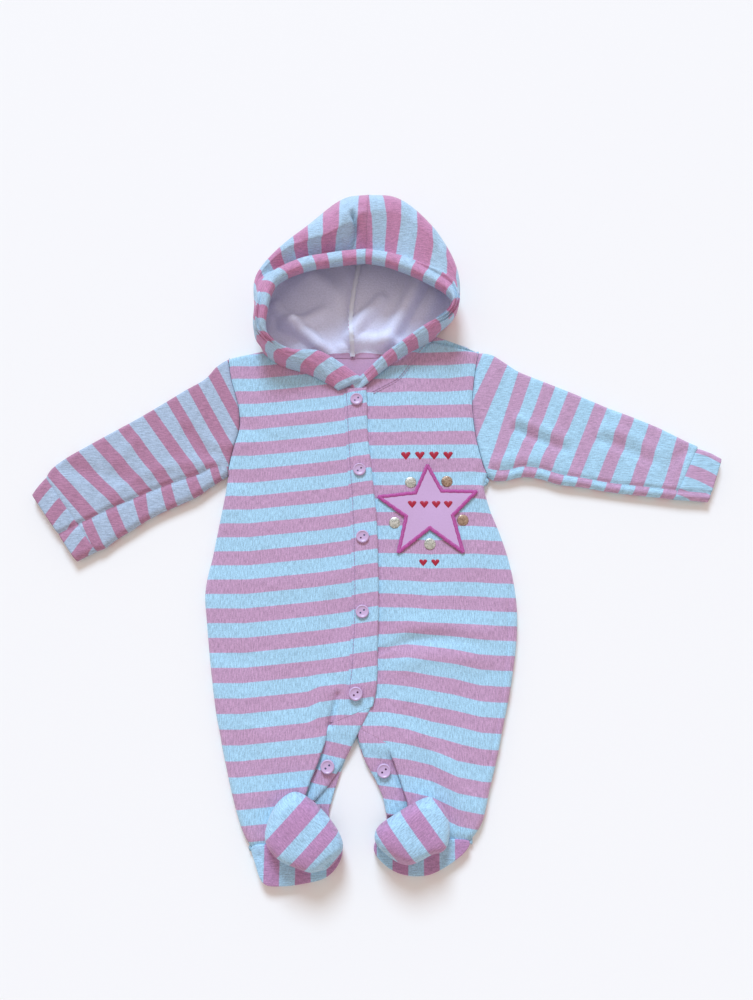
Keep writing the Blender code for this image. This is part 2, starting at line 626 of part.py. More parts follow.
def star(look, collection):
    """The star on the left front, made from the front's points and moved out."""
    corners = np.array([point for pair in zip(STAR_TIPS, STAR_NOTCHES) for point in pair], float)
    middle = corners.mean(axis=0)
    bm = bmesh.new()
    outline = np.vstack([corners + (np.roll(corners, -1, axis=0) - corners) * step
                         for step in STAR_STEPS])
    outline = outline.reshape(len(STAR_STEPS), -1, 2).transpose(1, 0, 2).reshape(-1, 2)
    rings = []
    for scale in STAR_RINGS:
        plan = middle + (outline - middle) * scale
        z = front_left_height(plan) + STAR_LIFT
        rings.append([bm.verts.new(place) for place in np.column_stack((plan, z))])
    centre_z = front_left_height(middle[None])[0] + STAR_LIFT
    centre = bm.verts.new((*middle, centre_z))
    for outer, inner in zip(rings[:-1], rings[1:]):
        for index in range(len(outer)):
            after = (index + 1) % len(outer)
            bm.faces.new((outer[index], outer[after], inner[after], inner[index]))
    for index in range(len(rings[-1])):
        bm.faces.new((rings[-1][index], rings[-1][(index + 1) % len(rings[-1])], centre))
    bmesh.ops.recalc_face_normals(bm, faces=bm.faces[:])
    close_wall(bm, STAR_THICKNESS, Vector((*middle, 0.0)))
    return finish_piece("star_applique", bm, look, collection)


def main():
    """Builds every piece of the suit."""
    clear_scene()
    suit = bpy.data.collections.new(SUIT)
    cutters = bpy.data.collections.new("cutters")
    for collection in (suit, cutters):
        bpy.context.scene.collection.children.link(collection)
    jersey = material("striped fleece-backed jersey", CLOTH_PINK, 0.92)
    star_jersey = material("plain jersey", STAR_PINK, 0.85)
    plastic = material("moulded polyester button", BUTTON_LILAC, 0.28)

    back_panel(jersey, suit)
    front_panel("front_right", ARMHOLE_RIGHT, SIDE_RIGHT, INNER_FRONT_RIGHT,
                front_right_height, jersey, suit)
    front_panel("front_left", ARMHOLE_LEFT, SIDE_LEFT, INNER_FRONT_LEFT,
                front_left_height, jersey, suit)
    sleeve("sleeve_right", ARMHOLE_RIGHT, SLEEVE_RIGHT, -SLEEVE_AWAY, UNDERARM_DEPTH,
           jersey, suit)
    sleeve("sleeve_left", ARMHOLE_LEFT, SLEEVE_LEFT, SLEEVE_AWAY, UNDERARM_DEPTH / 2,
           jersey, suit)
    cuff("cuff_right", CUFF_RIGHT, UNDERARM_DEPTH, jersey, suit)
    cuff("cuff_left", CUFF_LEFT, UNDERARM_DEPTH / 2, jersey, suit)
    hood_half("hood_right", HOOD_RIGHT, jersey, suit)
    hood_half("hood_left", HOOD_LEFT, jersey, suit)
    placket(jersey, suit)
    leg_band("leg_band_right", LEG_BAND_RIGHT, jersey, suit)
    leg_band("leg_band_left", LEG_BAND_LEFT, jersey, suit)
    foot_solid("foot_upper_right", VAMP_RIGHT, VAMP_LOOPS, jersey, suit)
    foot_solid("foot_upper_left", VAMP_LEFT, VAMP_LOOPS, jersey, suit)
    foot_solid("sole_right", SOLE_RIGHT, SOLE_LOOPS, jersey, suit)
    foot_solid("sole_left", SOLE_LEFT, SOLE_LOOPS, jersey, suit)
    buttons(plastic, suit, cutters)
    star(star_jersey, suit)


main()
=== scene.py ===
"""Looks of a newborn's hooded pramsuit, laid flat on a white surface in soft window light.

Every piece of cloth is a fine sheet on the form of its CAD solid, with its own creases, its
hems and a map of the cloth in millimetres, which carries the woven stripes. Tables and sizes
are in millimetres, in the frame of the cutting plan, whose middle is PLAN_MIDDLE. "Right" and
"left" are the wearer's, so the right side is on the left of the picture.
"""

import logging
import math
from dataclasses import dataclass
from enum import Enum
from typing import Callable, Optional, Sequence

import bmesh
import bpy
import numpy as np
from mathutils import Euler, Matrix, Vector


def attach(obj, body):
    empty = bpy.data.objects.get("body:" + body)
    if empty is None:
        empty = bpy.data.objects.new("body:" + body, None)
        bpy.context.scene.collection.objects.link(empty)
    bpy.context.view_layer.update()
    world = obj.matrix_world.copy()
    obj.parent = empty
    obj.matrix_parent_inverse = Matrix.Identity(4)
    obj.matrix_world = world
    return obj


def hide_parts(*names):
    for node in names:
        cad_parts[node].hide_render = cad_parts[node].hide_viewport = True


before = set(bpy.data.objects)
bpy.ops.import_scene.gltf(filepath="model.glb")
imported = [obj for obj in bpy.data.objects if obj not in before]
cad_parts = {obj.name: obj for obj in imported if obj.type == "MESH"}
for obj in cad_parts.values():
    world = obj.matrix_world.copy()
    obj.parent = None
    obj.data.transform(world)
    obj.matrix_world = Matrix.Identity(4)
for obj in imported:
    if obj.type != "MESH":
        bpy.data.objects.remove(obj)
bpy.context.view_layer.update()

logging.basicConfig(level=logging.INFO, format="%(asctime)s %(levelname)s %(message)s")
log = logging.getLogger("pramsuit")

Height = Callable[[np.ndarray], np.ndarray]

MM = 0.001
PLAN_MIDDLE = np.array((2.0, 3.0, 0.0))
ROOT = "root"
CLOTH_MAP = "cloth"
WELD = 0.01

WALL = 2.8              # jersey with its fleece back
SEAM_HEIGHT = 4.5
GAP = 0.3
FRONT_TOP = 9.0
TUCKED_TOP = 7.2
EDGE_ROLL = 5.0
BAND_THICKNESS = 1.6
STAR_THICKNESS = 1.0
STAR_LIFT = 1.6
FINE_ROLL = (0.0, 0.034, 0.134, 0.293, 0.5, 0.75, 1.0)

STRIPE_PITCH = 24.5     # one pink and one white stripe

# --- The cutting plan: x, y ------------------------------------------------------------------
ARMHOLE_RIGHT = np.array((
    (-136, 146), (-133, 128), (-128.5, 112), (-124.5, 98), (-123, 86), (-123.5, 74),
    (-127, 60), (-130, 46), (-131.5, 34)), float)
ARMHOLE_LEFT = np.array((
    (94, 152), (91, 138), (88.5, 122), (86.5, 104), (87, 88), (88.5, 72),
    (91, 58), (94, 45), (98, 33)), float)
SIDE_RIGHT = np.array((
    (-131.5, 34), (-133, 18), (-135.5, 0), (-138.5, -20), (-141.5, -40), (-145, -58),
    (-146, -74), (-143.5, -94), (-140.5, -116), (-137.5, -136), (-134.5, -154),
    (-131.5, -170), (-128, -184), (-125, -197), (-121, -212), (-117, -227),
    (-112, -243), (-105.5, -260), (-97.5, -272)), float)
SIDE_LEFT = np.array((
    (98, 33), (95, 23), (99.5, 3), (107, -18), (113, -38), (117, -58), (119, -78),
    (119, -96), (117, -116), (113.5, -136), (110, -154), (106, -170), (102.5, -184),
    (99.5, -197), (95.5, -212), (91, -227), (87, -243), (83, -254), (73, -267)), float)
INNER_FRONT_RIGHT = np.array((
    (-98, 155), (-80, 138), (-60, 128), (-36, 115.5), (-9, 118), (-8, 98), (-8, 78),
    (-6, 57), (-4, 38), (-2, 19), (0, 0), (1, -20), (1.5, -40), (2, -58), (2, -74),
    (2, -94), (1, -116), (1, -134), (0, -150), (-3, -163), (-38.5, -177), (-41.5, -191),
    (-47, -207), (-53, -221), (-58, -236), (-60, -250), (-60, -264)), float)
INNER_FRONT_LEFT = np.array((
    (54, 167), (46.5, 160.5), (31, 151.5), (11, 138.5), (-24, 111.5), (-24, 90), (-23, 66),
    (-23, 50), (-22, 36), (-21, 22), (-20, 3), (-20, -18), (-19, -38),
    (-19, -58), (-19, -78), (-19, -96), (-19, -116), (-18, -136), (-18, -154),
    (-17, -170), (-16, -181), (8, -193), (14, -207), (19, -221), (24, -236),
    (26, -248), (26, -260)), float)
CENTRE_BACK = np.array((
    (-22, 147), (-21, 120), (-19, 92), (-18, 66), (-17, 44), (-17, 22), (-16, 2),
    (-16, -19), (-15, -39), (-15, -58), (-14, -76), (-14, -95), (-15, -116),
    (-15, -136), (-15.5, -154), (-16, -171), (-16, -188)), float)
NECK_BACK_RIGHT = np.array(((-98, 155), (-80, 151), (-60, 149), (-42, 148)), float)
NECK_BACK_LEFT = np.array(((50, 163), (33, 156), (20, 151.5), (2, 148)), float)
INSIDE_LEG_RIGHT = np.array((
    (-23, -199), (-29, -214), (-34, -229), (-38, -243), (-38, -253), (-38, -258)), float)
INSIDE_LEG_LEFT = np.array((
    (-12, -200), (-4, -215), (3, -228), (8, -241), (8, -250), (10, -256)), float)

# Arm sections: top_x, top_y, under_x, under_y, how far up from the lower edge the crease is
SLEEVE_RIGHT = (
    (-147, 138, -146, 24, 17), (-157, 126, -158, 15, 20), (-176, 114, -172, 8, 22),
    (-196, 100.5, -186, 1.5, 23), (-216, 87.5, -200, -6, 24), (-236, 75.5, -213, -15, 26),
    (-256, 63.5, -225, -23, 28), (-276, 51, -235, -31, 30), (-288, 41, -240, -33, 30),
    (-293, 32, -242.5, -33.8, 30))
SLEEVE_LEFT = (
    (106, 150, 105, 29.5, 9), (118, 142, 116, 30, 9), (130, 133.5, 130, 33, 9),
    (148, 125.5, 146, 31, 9), (168, 117, 162, 26, 9), (190, 107, 182, 23.5, 8),
    (212, 97, 204, 19.5, 8), (234, 88, 224, 17, 8), (256, 78, 242, 15, 8),
    (276, 67, 256, 13.5, 8), (287.5, 61.5, 262, 12.5, 8))
CUFF_RIGHT = ((-292.2, 33.2, -241.6, -33.6, 30), (-299, 24, -250, -38, 30),
              (-303, 17, -258, -42.5, 30))
CUFF_LEFT = ((286.0, 59.8, 261.0, 12.6, 8), (297.5, 55.5, 276, 11.5, 8), (307, 50, 291, 10, 8))
ARMHOLE_AWAY = 0.4
ARMHOLE_CREASE_UP = 8.0
CREASE_TAKES_UP = 0.6    # cloth taken up along the sleeve, for each mm of a crease's height

# Where the left front slopes down under the placket
TUCK_FLAT_FROM = (30.0, 2.0)
TUCK_SLOPE = 22.0
TUCK_NARROWS = (150.0, 200.0)

# Hood stations from the front neck end to the centre seam: rim x y z, bulge x y z, neck x y z,
# width of the rim's hem, depth of the valley behind it, how far behind the rim the crown breaks
# and its height there, how far in from the bulge it reaches the ground. The first rows have no
# bulge: they are padded strips on the fronts.
HOOD_RIGHT = (
    (-10.5, 122.5, 13, 0, 0, 0, -35, 113, 11, 9, 0, 0, 0, 0),
    (-30, 136, 17.5, 0, 0, 0, -43, 118.5, 10.5, 9, 0, 0, 0, 0),
    (-52, 146.5, 24, 0, 0, 0, -62, 128.5, 10, 9, 0, 0, 0, 0),
    (-78, 145.5, 31, 0, 0, 0, -88, 137.5, 10, 9, 0, 0, 0, 0),
    (-96, 155, 42, -109.5, 160, 22, -104, 151.5, 9, 7, 1, 12, 34, -1),
    (-95, 178, 50, -110.5, 184, 24, -80, 150.8, 0, 8, 1, 13, 42, 10),
    (-87, 201, 50, -110.5, 215, 24, -60, 148.8, 0, 11, 7, 20, 45, 10),
    (-64, 215, 47, -85, 251, 23, -42, 147.8, 0, 12, 12, 27, 46, 11),
    (-40, 221, 45, -53, 285, 23, -32, 147.1, 0, 12, 14, 30, 48, 12),
    (-24, 224, 44, -30, 301, 25, -26, 146.9, 0, 12, 14, 38, 48, 12),
    (-10, 226, 43, -7, 304.5, 25, -22, 146.8, 0, 12, 12, 50, 45, 12))
HOOD_LEFT = (
    (-25, 118, 9.5, 0, 0, 0, -19, 111, 9.2, 8, 0, 0, 0, 0),
    (-12, 129.5, 12.5, 0, 0, 0, -6.5, 121.5, 10.3, 8, 0, 0, 0, 0),
    (7, 146, 18.5, 0, 0, 0, 12.5, 137.5, 10.5, 8, 0, 0, 0, 0),
    (24, 156.5, 25, 0, 0, 0, 29.5, 149, 11, 8, 0, 0, 0, 0),
    (44, 168.5, 32, 0, 0, 0, 49, 160.5, 10, 8, 0, 0, 0, 0),
    (61, 174.5, 39, 68, 176, 22, 55, 167, 9, 4, 0, 5.5, 33, -1),
    (67.5, 185, 43, 75, 190, 24, 33, 155.9, 0, 5, 0, 7, 38, 10),
    (60.5, 196, 43, 75.5, 219, 24, 20, 151.4, 0, 9, 0, 18, 43, 10),
    (41, 209, 42, 63.5, 252, 24, 6, 148.3, 0, 10, 1, 34, 45, 11),
    (20, 219, 42, 38.5, 286, 24, -8, 147.1, 0, 12, 6, 50, 46, 12),
    (4, 224, 42.5, 17, 302.5, 24.5, -16, 146.9, 0, 12, 10, 54, 45, 12),
    (-10, 226, 43, -7, 304.5, 25, -22, 146.8, 0, 12, 12, 50, 45, 12))
HOOD_MIDDLE = (-20.0, 190.0, 25.0)
HOOD_SEAM_GROUND = (-23.0, 200.0, 3.0)   # the centre back seam leans towards the right side
# A strip's profile: share of the way from rim to neck seam, height over the rim
STRIP_HEM = ((0.05, -7.0), (0.0, -2.2), (0.06, 0.2), (0.18, 1.1), (0.32, 1.2), (0.42, 0.9),
             (0.50, 0.5))
STRIP_REST = (0.62, 0.74, 0.84, 0.92, 0.97, 0.985, 0.995, 1.0)

# Placket band: stitched_x, free_x, y
PLACKET = np.array((
    (-30, -9.4, 115.4), (-29, -8.4, 98), (-28, -8.4, 78), (-26.5, -6.4, 57),
    (-25.5, -4.4, 38), (-24, -2.4, 19), (-23, -0.4, 0), (-22, 0.6, -20),
    (-21.5, 1.1, -40), (-21, 1.6, -58), (-21, 1.6, -74), (-21, 1.6, -94),
    (-22, 0.6, -116), (-23, 0.6, -134), (-25, -0.4, -150), (-28, -3, -162.5)), float)

# Inside-leg bands: outer_x, outer_y, inner_x, inner_y, top_z
LEG_BAND_RIGHT = np.array((
    (-38.5, -175.6, -3.2, -161.6, 9), (-41, -191, -17.3, -189, 7.6),
    (-44, -200, -23, -200.5, 6.6), (-46.5, -207, -28, -209, 6.2),
    (-52.5, -221, -38, -224, 5.9), (-57.5, -236, -50, -237, 5.9)), float)
LEG_BAND_LEFT = np.array((
    (8.6, -191.4, -16.4, -179.4, 7.2), (9.5, -195, -14.5, -190, 6.8), (13.6, -207, -9, -207, 6.2),
    (18.5, -221, -1, -220, 5.9), (23.5, -236, 5, -233, 5.9), (25.5, -248, 8, -247, 5.9)), float)

# Feet: outlines in x, y, then loops from the base up: scale of the outline, z
VAMP_RIGHT = ((-65, -228), (-78, -236), (-85, -250), (-86, -264), (-76, -276), (-60, -283),
              (-46, -286), (-33, -280), (-26, -267), (-34, -251), (-50, -235))
VAMP_LEFT = ((42, -232), (52, -238), (57, -252), (54, -268), (42, -274), (24, -281),
             (8, -274), (-1, -264), (1, -254), (14, -245), (28, -237))
SOLE_RIGHT = ((-98, -269), (-95, -282), (-88, -296), (-74, -298), (-56, -296), (-40, -292),
              (-30, -283), (-27, -271), (-36, -260), (-60, -263), (-82, -267))
SOLE_LEFT = ((73, -265), (70, -273), (56, -283), (40, -290), (22, -290), (8, -284),
             (-2, -273), (2, -262), (12, -259.5), (36, -262), (58, -263.5))
VAMP_LOOPS = ((0.91, 9.3), (0.98, 11.0), (1.0, 15.0), (0.985, 20.5), (0.92, 26.0), (0.78, 29.6),
              (0.5, 31.2), (0.25, 31.5))
# Where the vamps' stripes change, across the way that they lie; pink starts at the second
VAMP_BORDERS_RIGHT = (107.0, 119.4, 134.3, 144.9, 155.7, 168.0, 180.0)
VAMP_BORDERS_LEFT = (-166.0, -153.8, -142.5, -130.1, -116.7, -104.0, -92.0)
SOLE_LOOPS = ((0.90, 0.0), (0.97, 1.2), (1.0, 4.0), (0.97, 7.0), (0.90, 9.0))

# Buttons: name, x, y, what it is sewn on
BUTTONS = (("button_1", -18, 104, "placket"), ("button_2", -15, 38, "placket"),
           ("button_3", -12, -22, "placket"), ("button_4", -12, -86, "placket"),
           ("button_5", -17, -153, "placket"), ("button_leg_right", -39.5, -210, "band"),
           ("button_leg_left", 6, -213, "band"))

# Star: x, y of the five tips, then of the notches after each
STAR_TIPS = ((45, 42), (87, 18), (74, -35), (19, -35), (2, 14))
STAR_NOTCHES = ((57, 19), (66, -3), (46, -14), (26, -4), (34, 17))
HEARTS = ((26, 52, 8.5), (38.5, 52, 8.5), (51, 52, 8.5), (63.5, 52, 8.5), (31, 7, 7.5),
          (41.5, 7, 7.5), (52, 7, 7.5), (62.5, 7, 7.5), (40, -44, 7), (50.5, -44, 7))
GLITTER_SPOTS = ((30, 27, 0), (62, 28, 1), (75, -7, 1), (46, -28, 0), (16, -9, 0))

# --- How the stripes lie ---------------------------------------------------------------------
# Height of the first pink stripe's upper border across each front: x, y
FIRST_STRIPE_RIGHT = ((-146, -10), (-110, -10), (-90, -8), (-70, -6), (-50, -4), (-28, -1),
                      (4, 3.5))
FIRST_STRIPE_LEFT = ((-24, 0), (30, 0), (45, -0.5), (85, 0), (100, -1), (120, -1.5))
# The folds of the left front draw its stripes up: y, then by how much at x 8, 25, 45, 65, 85
DRAWN_UP_AT = (8, 25, 45, 65, 85)
DRAWN_UP = ((152, 4, 4, 4, 4, 5), (126, 3, 3, 3, 3, 5), (100, 1, 1, 1.5, 2, 2),
            (40, 0, 0, 0, 0, 0), (-45, 1, 0.5, 0, 0, 0), (-70, 3, 2, 1, 1, 0),
            (-95, 4, 4, 3, 2, 1), (-115, 7, 10, 8, 5, 1), (-136, 13, 12, 9, 6, 1),
            (-160, 15, 12, 9, 5, 0), (-182, 18, 15, 9, 5, 0), (-205, 18, 16, 12, 3, -1))
# Borders between stripes along a sleeve: stripe number, top x y, crease (or lower edge) x y
BORDERS_RIGHT = (
    (0, -147, 138, -122, 92), (0.5, -154, 128, -124, 75), (1, -163, 121, -128, 60),
    (1.5, -172, 115, -135, 50), (2, -182, 108, -143, 45), (2.5, -190, 102.5, -152, 41),
    (3, -202, 96, -157, 36), (3.5, -211, 90, -168, 32), (4, -223, 82, -178.5, 27),
    (4.5, -232, 76.5, -189, 23), (5, -244.5, 69.5, -197, 19.5), (5.5, -255, 63.5, -208, 14.5),
    (6, -266.5, 57, -220, 9), (6.5, -277, 50, -229, 5), (7, -285.5, 43, -243, -1),
    (7.5, -292.5, 35, -254, -6.5))
BORDERS_RIGHT_BELOW = (
    (0, -141, 43, -134, 22), (0.5, -149, 44, -142, 24), (1, -160, 34, -152, 18),
    (1.5, -170, 34, -163, 18), (2, -181, 25, -175, 7), (2.5, -191, 25, -185, 7),
    (3, -202, 13, -197, -8), (3.5, -214, 13, -206, -8), (4, -226, 2, -215, -20),
    (4.5, -237, 2, -226, -20), (5, -247, -8, -234, -32), (5.5, -256, -10, -243, -34))
BORDERS_LEFT = (
    (0.5, 98, 150, 84, 118), (1, 108, 146, 84, 98), (1.5, 120, 138, 89, 66),
    (2, 130, 132, 97, 34), (2.5, 142, 128, 107, 34), (3, 152.5, 122, 119, 35),
    (3.5, 163, 118, 130, 35), (4, 174, 112, 142.5, 38), (4.5, 187, 109, 155, 38),
    (5, 198, 102, 168, 33), (5.5, 209, 98, 180, 33), (6, 222, 92, 193, 26),
    (6.5, 233, 89, 203, 20), (7, 245, 82, 220, 17), (7.5, 257, 77, 232, 17),
    (8, 269, 69, 248, 15), (8.5, 280, 66, 261, 15))
BORDERS_LEFT_BELOW = (
    (1.5, 96, 40, 90, 20), (2, 106, 36, 100, 20), (2.5, 118, 38, 112, 22), (3, 130, 38, 124, 22),
    (3.5, 142, 38, 136, 22), (4, 154, 36, 148, 20), (4.5, 166, 34, 160, 18),
    (5, 178, 31, 172, 16), (5.5, 190, 27, 184, 12), (6, 202, 23, 196, 8), (6.5, 214, 20, 208, 6),
    (7, 226, 18, 220, 4), (7.5, 238, 17, 232, 4), (8, 250, 15, 244, 2), (8.5, 262, 14, 256, 2))

NECK_SEAM = ((-5, 112.3), (7, 118.8), (21, 127.3), (31, 140.8), (42, 155), (48, 162))

# --- Creases: the line's points, half width, height, how far it fades towards its end --------
CREASES = {
    "front_right": (
        (((-92, -186), (-86, -206), (-84, -232)), 9, 1.6, 0.2),
        (((-38, -78), (-36, -108), (-37, -142)), 7, -1.3, 0.0),
        (((-32, -154), (-35, -166), (-38, -178)), 2.2, -3.2, -0.3),
        (((-43, -148), (-47, -168), (-52, -196)), 6, 1.3, 0.4),
        (((-122, 60), (-96, 72)), 8, 1.1, 0.6), (((-124, 84), (-92, 66), (-70, 62)), 6, -0.9, 0.8),
        (((-46, 92), (-78, 84)), 9, 1.0, 0.5), (((-128, 30), (-100, 26)), 7, -0.8, 0.8),
        (((-112, -60), (-70, -64), (-34, -54)), 10, 0.7, 0.0),
        (((-130, -120), (-92, -132)), 8, -0.7, 0.7)),
    "front_left": (
        (((2, -119), (14, -115), (32, -110), (60, -108), (84, -112)), 5.5, -3.0, 0.85),
        (((4, -101), (30, -98), (62, -98), (90, -104)), 8, 1.7, 0.4),
        (((5, -131), (30, -126), (60, -124), (92, -126)), 8, 2.2, 0.5),
        (((34, -188), (52, -206), (72, -240)), 10, 2.0, 0.2),
        (((24, -168), (36, -196), (44, -226)), 7, -1.2, 0.3),
        (((117, -58), (112, -82), (110, -110), (104, -150), (98, -180), (91, -208)), 1.4, -1.1,
         0.0),
        (((100, 24), (86, 14), (72, 10)), 6, 1.3, 0.8), (((104, 6), (88, -14)), 6, -1.0, 0.7),
        (((96, 40), (84, 30), (74, 29)), 5, -1.0, 0.8),
        (((-8, 110.5), (7, 118), (22, 126.5), (32, 140), (43, 154), (50, 163)), 1.3, -0.9, 0.0)),
    "sleeve_right": (
        (((-278, 40), (-246, 36), (-214, 28)), 8, -2.0, 0.3),
        (((-166, 74), (-150, 52)), 7, -2.2, 0.3), (((-132, 60), (-152, 66), (-172, 84)), 6, 1.8, 0.6),
        (((-142, 46), (-168, 44), (-200, 36), (-236, 14)), 6, 1.8, 0.3),
        (((-214, 66), (-234, 42)), 6, 1.5, 0.6)),
    "sleeve_left": (
        (((126, 76), (142, 68), (168, 58)), 4.5, -3.0, 0.4),
        (((128, 86), (148, 77), (170, 68)), 5, 2.0, 0.4),
        (((200, 66), (218, 60), (244, 46)), 5.5, -2.3, 0.4),
        (((206, 76), (226, 70), (250, 56)), 6, 1.6, 0.4),
        (((106, 46), (130, 50), (158, 48)), 6, 1.8, 0.5),
        (((276, 56), (262, 46), (254, 30)), 5, -1.8, 0.3)),
    "foot_upper_right": (
        (((-48, -290), (-40, -281), (-33, -276), (-24, -272)), 3.0, -6.0, 0.2),
        (((-72, -240), (-62, -256)), 7, 0.8, 0.5), (((-52, -272), (-40, -262)), 6, 0.9, 0.3)),
    "foot_upper_left": (
        (((-2, -268), (12, -275), (26, -279), (44, -272)), 3.0, -4.5, 0.3),
        (((30, -244), (44, -258)), 7, 0.8, 0.5), (((10, -262), (26, -266)), 6, 0.9, 0.3)),
    "sole_right": ((((-96, -276), (-84, -280), (-70, -288)), 4, -1.5, 0.3),),
    "sole_left": ((((4, -278), (22, -284), (44, -282), (62, -272)), 3.5, -2.0, 0.3),),
}
# Creases of the fleece that lies inside the hood
FLEECE_FOLDS = (
    (((46, 236), (33, 208), (16, 176), (6, 160)), 6.5, 11.0, 0.3),
    (((56, 212), (42, 184)), 8, 5.0, 0.3),
    (((-84, 180), (-68, 184), (-50, 194)), 5.5, 8.0, 0.6),
    (((-76, 178), (-62, 168), (-44, 150)), 5.5, 10.0, 0.3),
    (((-96, 200), (-80, 182)), 6, 6.0, 0.2),
    (((-24, 168), (-14, 184), (4, 206)), 5.5, 8.0, 0.5),
    (((-30, 156), (-8, 164), (18, 160)), 6.5, 6.0, 0.2),
    (((-60, 232), (-40, 214), (-34, 190)), 8, 4.0, 0.4),
)
CROWN_CREASES = (
    (((-22, 270), (-19, 257), (-24, 244), (-31, 232)), 2.0, -7.5, 0.0),
    (((-13, 270), (-11, 254), (-15, 240)), 4.5, 3.5, 0.0),
    (((-30, 268), (-34, 250)), 5.0, 2.0, 0.3),
    (((-70, 244), (-58, 232)), 5.0, -2.0, 0.3), (((30, 272), (26, 242)), 6.0, -1.6, 0.3),
    (((52, 254), (44, 228)), 7.0, 1.4, 0.2),
)
# Along each half's hem, the foot of its crown and its bulge: distance from the strip's end, and
# how many stripes have passed there since the first pink one began
HOOD_STRIPES = {
    "hood_right": (
        ((0, -0.8), (10, 0), (91, 6), (149, 11), (183, 13), (235, 17), (245, 18.2)),
        ((0, -1.0), (12, 0), (78, 5), (96, 7), (135, 10), (155, 11), (228, 17), (265, 18.5)),
        ((0, -0.6), (8, 0), (94, 7), (145, 10), (169, 12), (290, 18.6))),
    "hood_left": (
        ((0, -1.3), (18, 0), (86, 6), (215, 16), (221, 16.5)),
        ((0, -1.2), (17, 0), (87, 6), (137, 10), (210, 14), (233, 16), (240, 16.5)),
        ((0, -1.2), (17, 0), (85, 6), (115, 8), (213, 12), (270, 15), (281, 16)))}
HOOD_STRIPE_LINES = (2.7, 6.3, 9.5)      # those three lines, as guide numbers


# --- Small geometry --------------------------------------------------------------------------
def smooth(value: np.ndarray, low: float, high: float) -> np.ndarray:
    """0 below low, 1 above high, eased between."""
    t = np.clip((np.asarray(value, float) - low) / (high - low), 0.0, 1.0)
    return t * t * (3.0 - 2.0 * t)


def distance_to(points: np.ndarray, line: np.ndarray) -> np.ndarray:
    """Shortest plan distance from each point to a line of straight stretches."""
    nearest = np.full(len(points), np.inf)
    x, y = points[:, 0], points[:, 1]
    for (ax, ay), (bx, by) in zip(line[:-1], line[1:]):
        dx, dy = bx - ax, by - ay
        t = np.clip(((x - ax) * dx + (y - ay) * dy) / (dx * dx + dy * dy), 0.0, 1.0)
        nearest = np.minimum(nearest, (x - ax - t * dx) ** 2 + (y - ay - t * dy) ** 2)
    return np.sqrt(nearest)


def through(points: Sequence, places: Sequence[float]) -> np.ndarray:
    """Points on the smooth curve through the given ones; place 1.5 is half way past the second."""
    points = np.asarray(points, float)
    last = len(points) - 1
    before = np.vstack((2 * points[:1] - points[1:2], points, 2 * points[-1:] - points[-2:-1]))
    places = np.asarray(places, float)
    index = np.minimum(places.astype(int), last - 1)
    t = (places - index).reshape((-1,) + (1,) * (points.ndim - 1))
    a, b, c, d = (before[index + step] for step in range(4))
    return 0.5 * (2 * b + (c - a) * t + (2 * a - 5 * b + 4 * c - d) * t ** 2
                  + (3 * b - a - 3 * c + d) * t ** 3)


def between(points: np.ndarray, places: np.ndarray) -> np.ndarray:
    """Points on the straight stretches between the given ones."""
    index = np.arange(len(points))
    return np.column_stack([np.interp(places, index, points[:, axis])
                            for axis in range(points.shape[1])])


def row_places(lines: Sequence[np.ndarray], step: float) -> np.ndarray:
    """Places along tables of equal length, so that rows stand about a step apart."""
    lengths = np.max([np.hypot(*np.diff(line, axis=0).T) for line in lines], axis=0)
    places = [np.linspace(index, index + 1, max(2, int(math.ceil(length / step))),
                          endpoint=False) for index, length in enumerate(lengths)]
    return np.concatenate(places + [[len(lengths)]])


def along(line: np.ndarray, distances: np.ndarray) -> np.ndarray:
    """Points at these distances along a line of straight stretches."""
    passed = np.concatenate(((0.0,), np.cumsum(np.hypot(*np.diff(line, axis=0).T))))
    return np.column_stack([np.interp(distances, passed, line[:, axis]) for axis in (0, 1)])


def line_length(line: np.ndarray) -> float:
    """Length of a line of straight stretches."""
    return float(np.hypot(*np.diff(line, axis=0).T).sum())


def closed_outline(corners: Sequence, steps: int) -> np.ndarray:
    """A smooth closed outline through its corners."""
    corners = np.array(corners, float)
    wrapped = np.vstack((corners[-1:], corners, corners[:2]))
    return through(wrapped, 1.0 + np.arange(len(corners) * steps) / steps)


def sleeve_edges(armhole: np.ndarray, sleeve: Sequence, cuff: Sequence) -> list[np.ndarray]:
    """The top and the under edge of an arm, from armhole to cuff end."""
    rows = np.array(sleeve + cuff, float)
    return [np.vstack((armhole[:1], rows[:, 0:2])), np.vstack((armhole[-1:], rows[:, 2:4]))]


def fine_line(line: np.ndarray, step: float = 2.5) -> np.ndarray:
    """The smooth curve through a table, in short stretches."""
    return through(line, row_places([line], step))


SHOULDER_RIGHT = np.array(((-136, 146), (-98, 155)), float)
SHOULDER_LEFT = np.array(((94, 152), (50, 163)), float)
OUTLINE_RIGHT = [fine_line(line) for line in (
    SIDE_RIGHT, SHOULDER_RIGHT, *sleeve_edges(ARMHOLE_RIGHT, SLEEVE_RIGHT, CUFF_RIGHT))]
OUTLINE_LEFT = [fine_line(line) for line in (
    SIDE_LEFT, SHOULDER_LEFT, *sleeve_edges(ARMHOLE_LEFT, SLEEVE_LEFT, CUFF_LEFT))]


def quarter(distance: np.ndarray, width: float = EDGE_ROLL) -> np.ndarray:
    """0 at an edge, 1 where the cloth lies flat, on a quarter circle between."""
    t = np.clip(distance / width, 0.0, 1.0)
    return np.sqrt(1.0 - (1.0 - t) ** 2)


def roll(points: np.ndarray) -> np.ndarray:
    """The quarter circle of the laid suit's outline."""
    found = np.ones(len(points))
    for outline, near in ((OUTLINE_RIGHT, points[:, 0] < -50), (OUTLINE_LEFT, points[:, 0] > 10)):
        if near.any():
            part = points[near]
            found[near] = quarter(np.min([distance_to(part, edge) for edge in outline], axis=0))
    return found


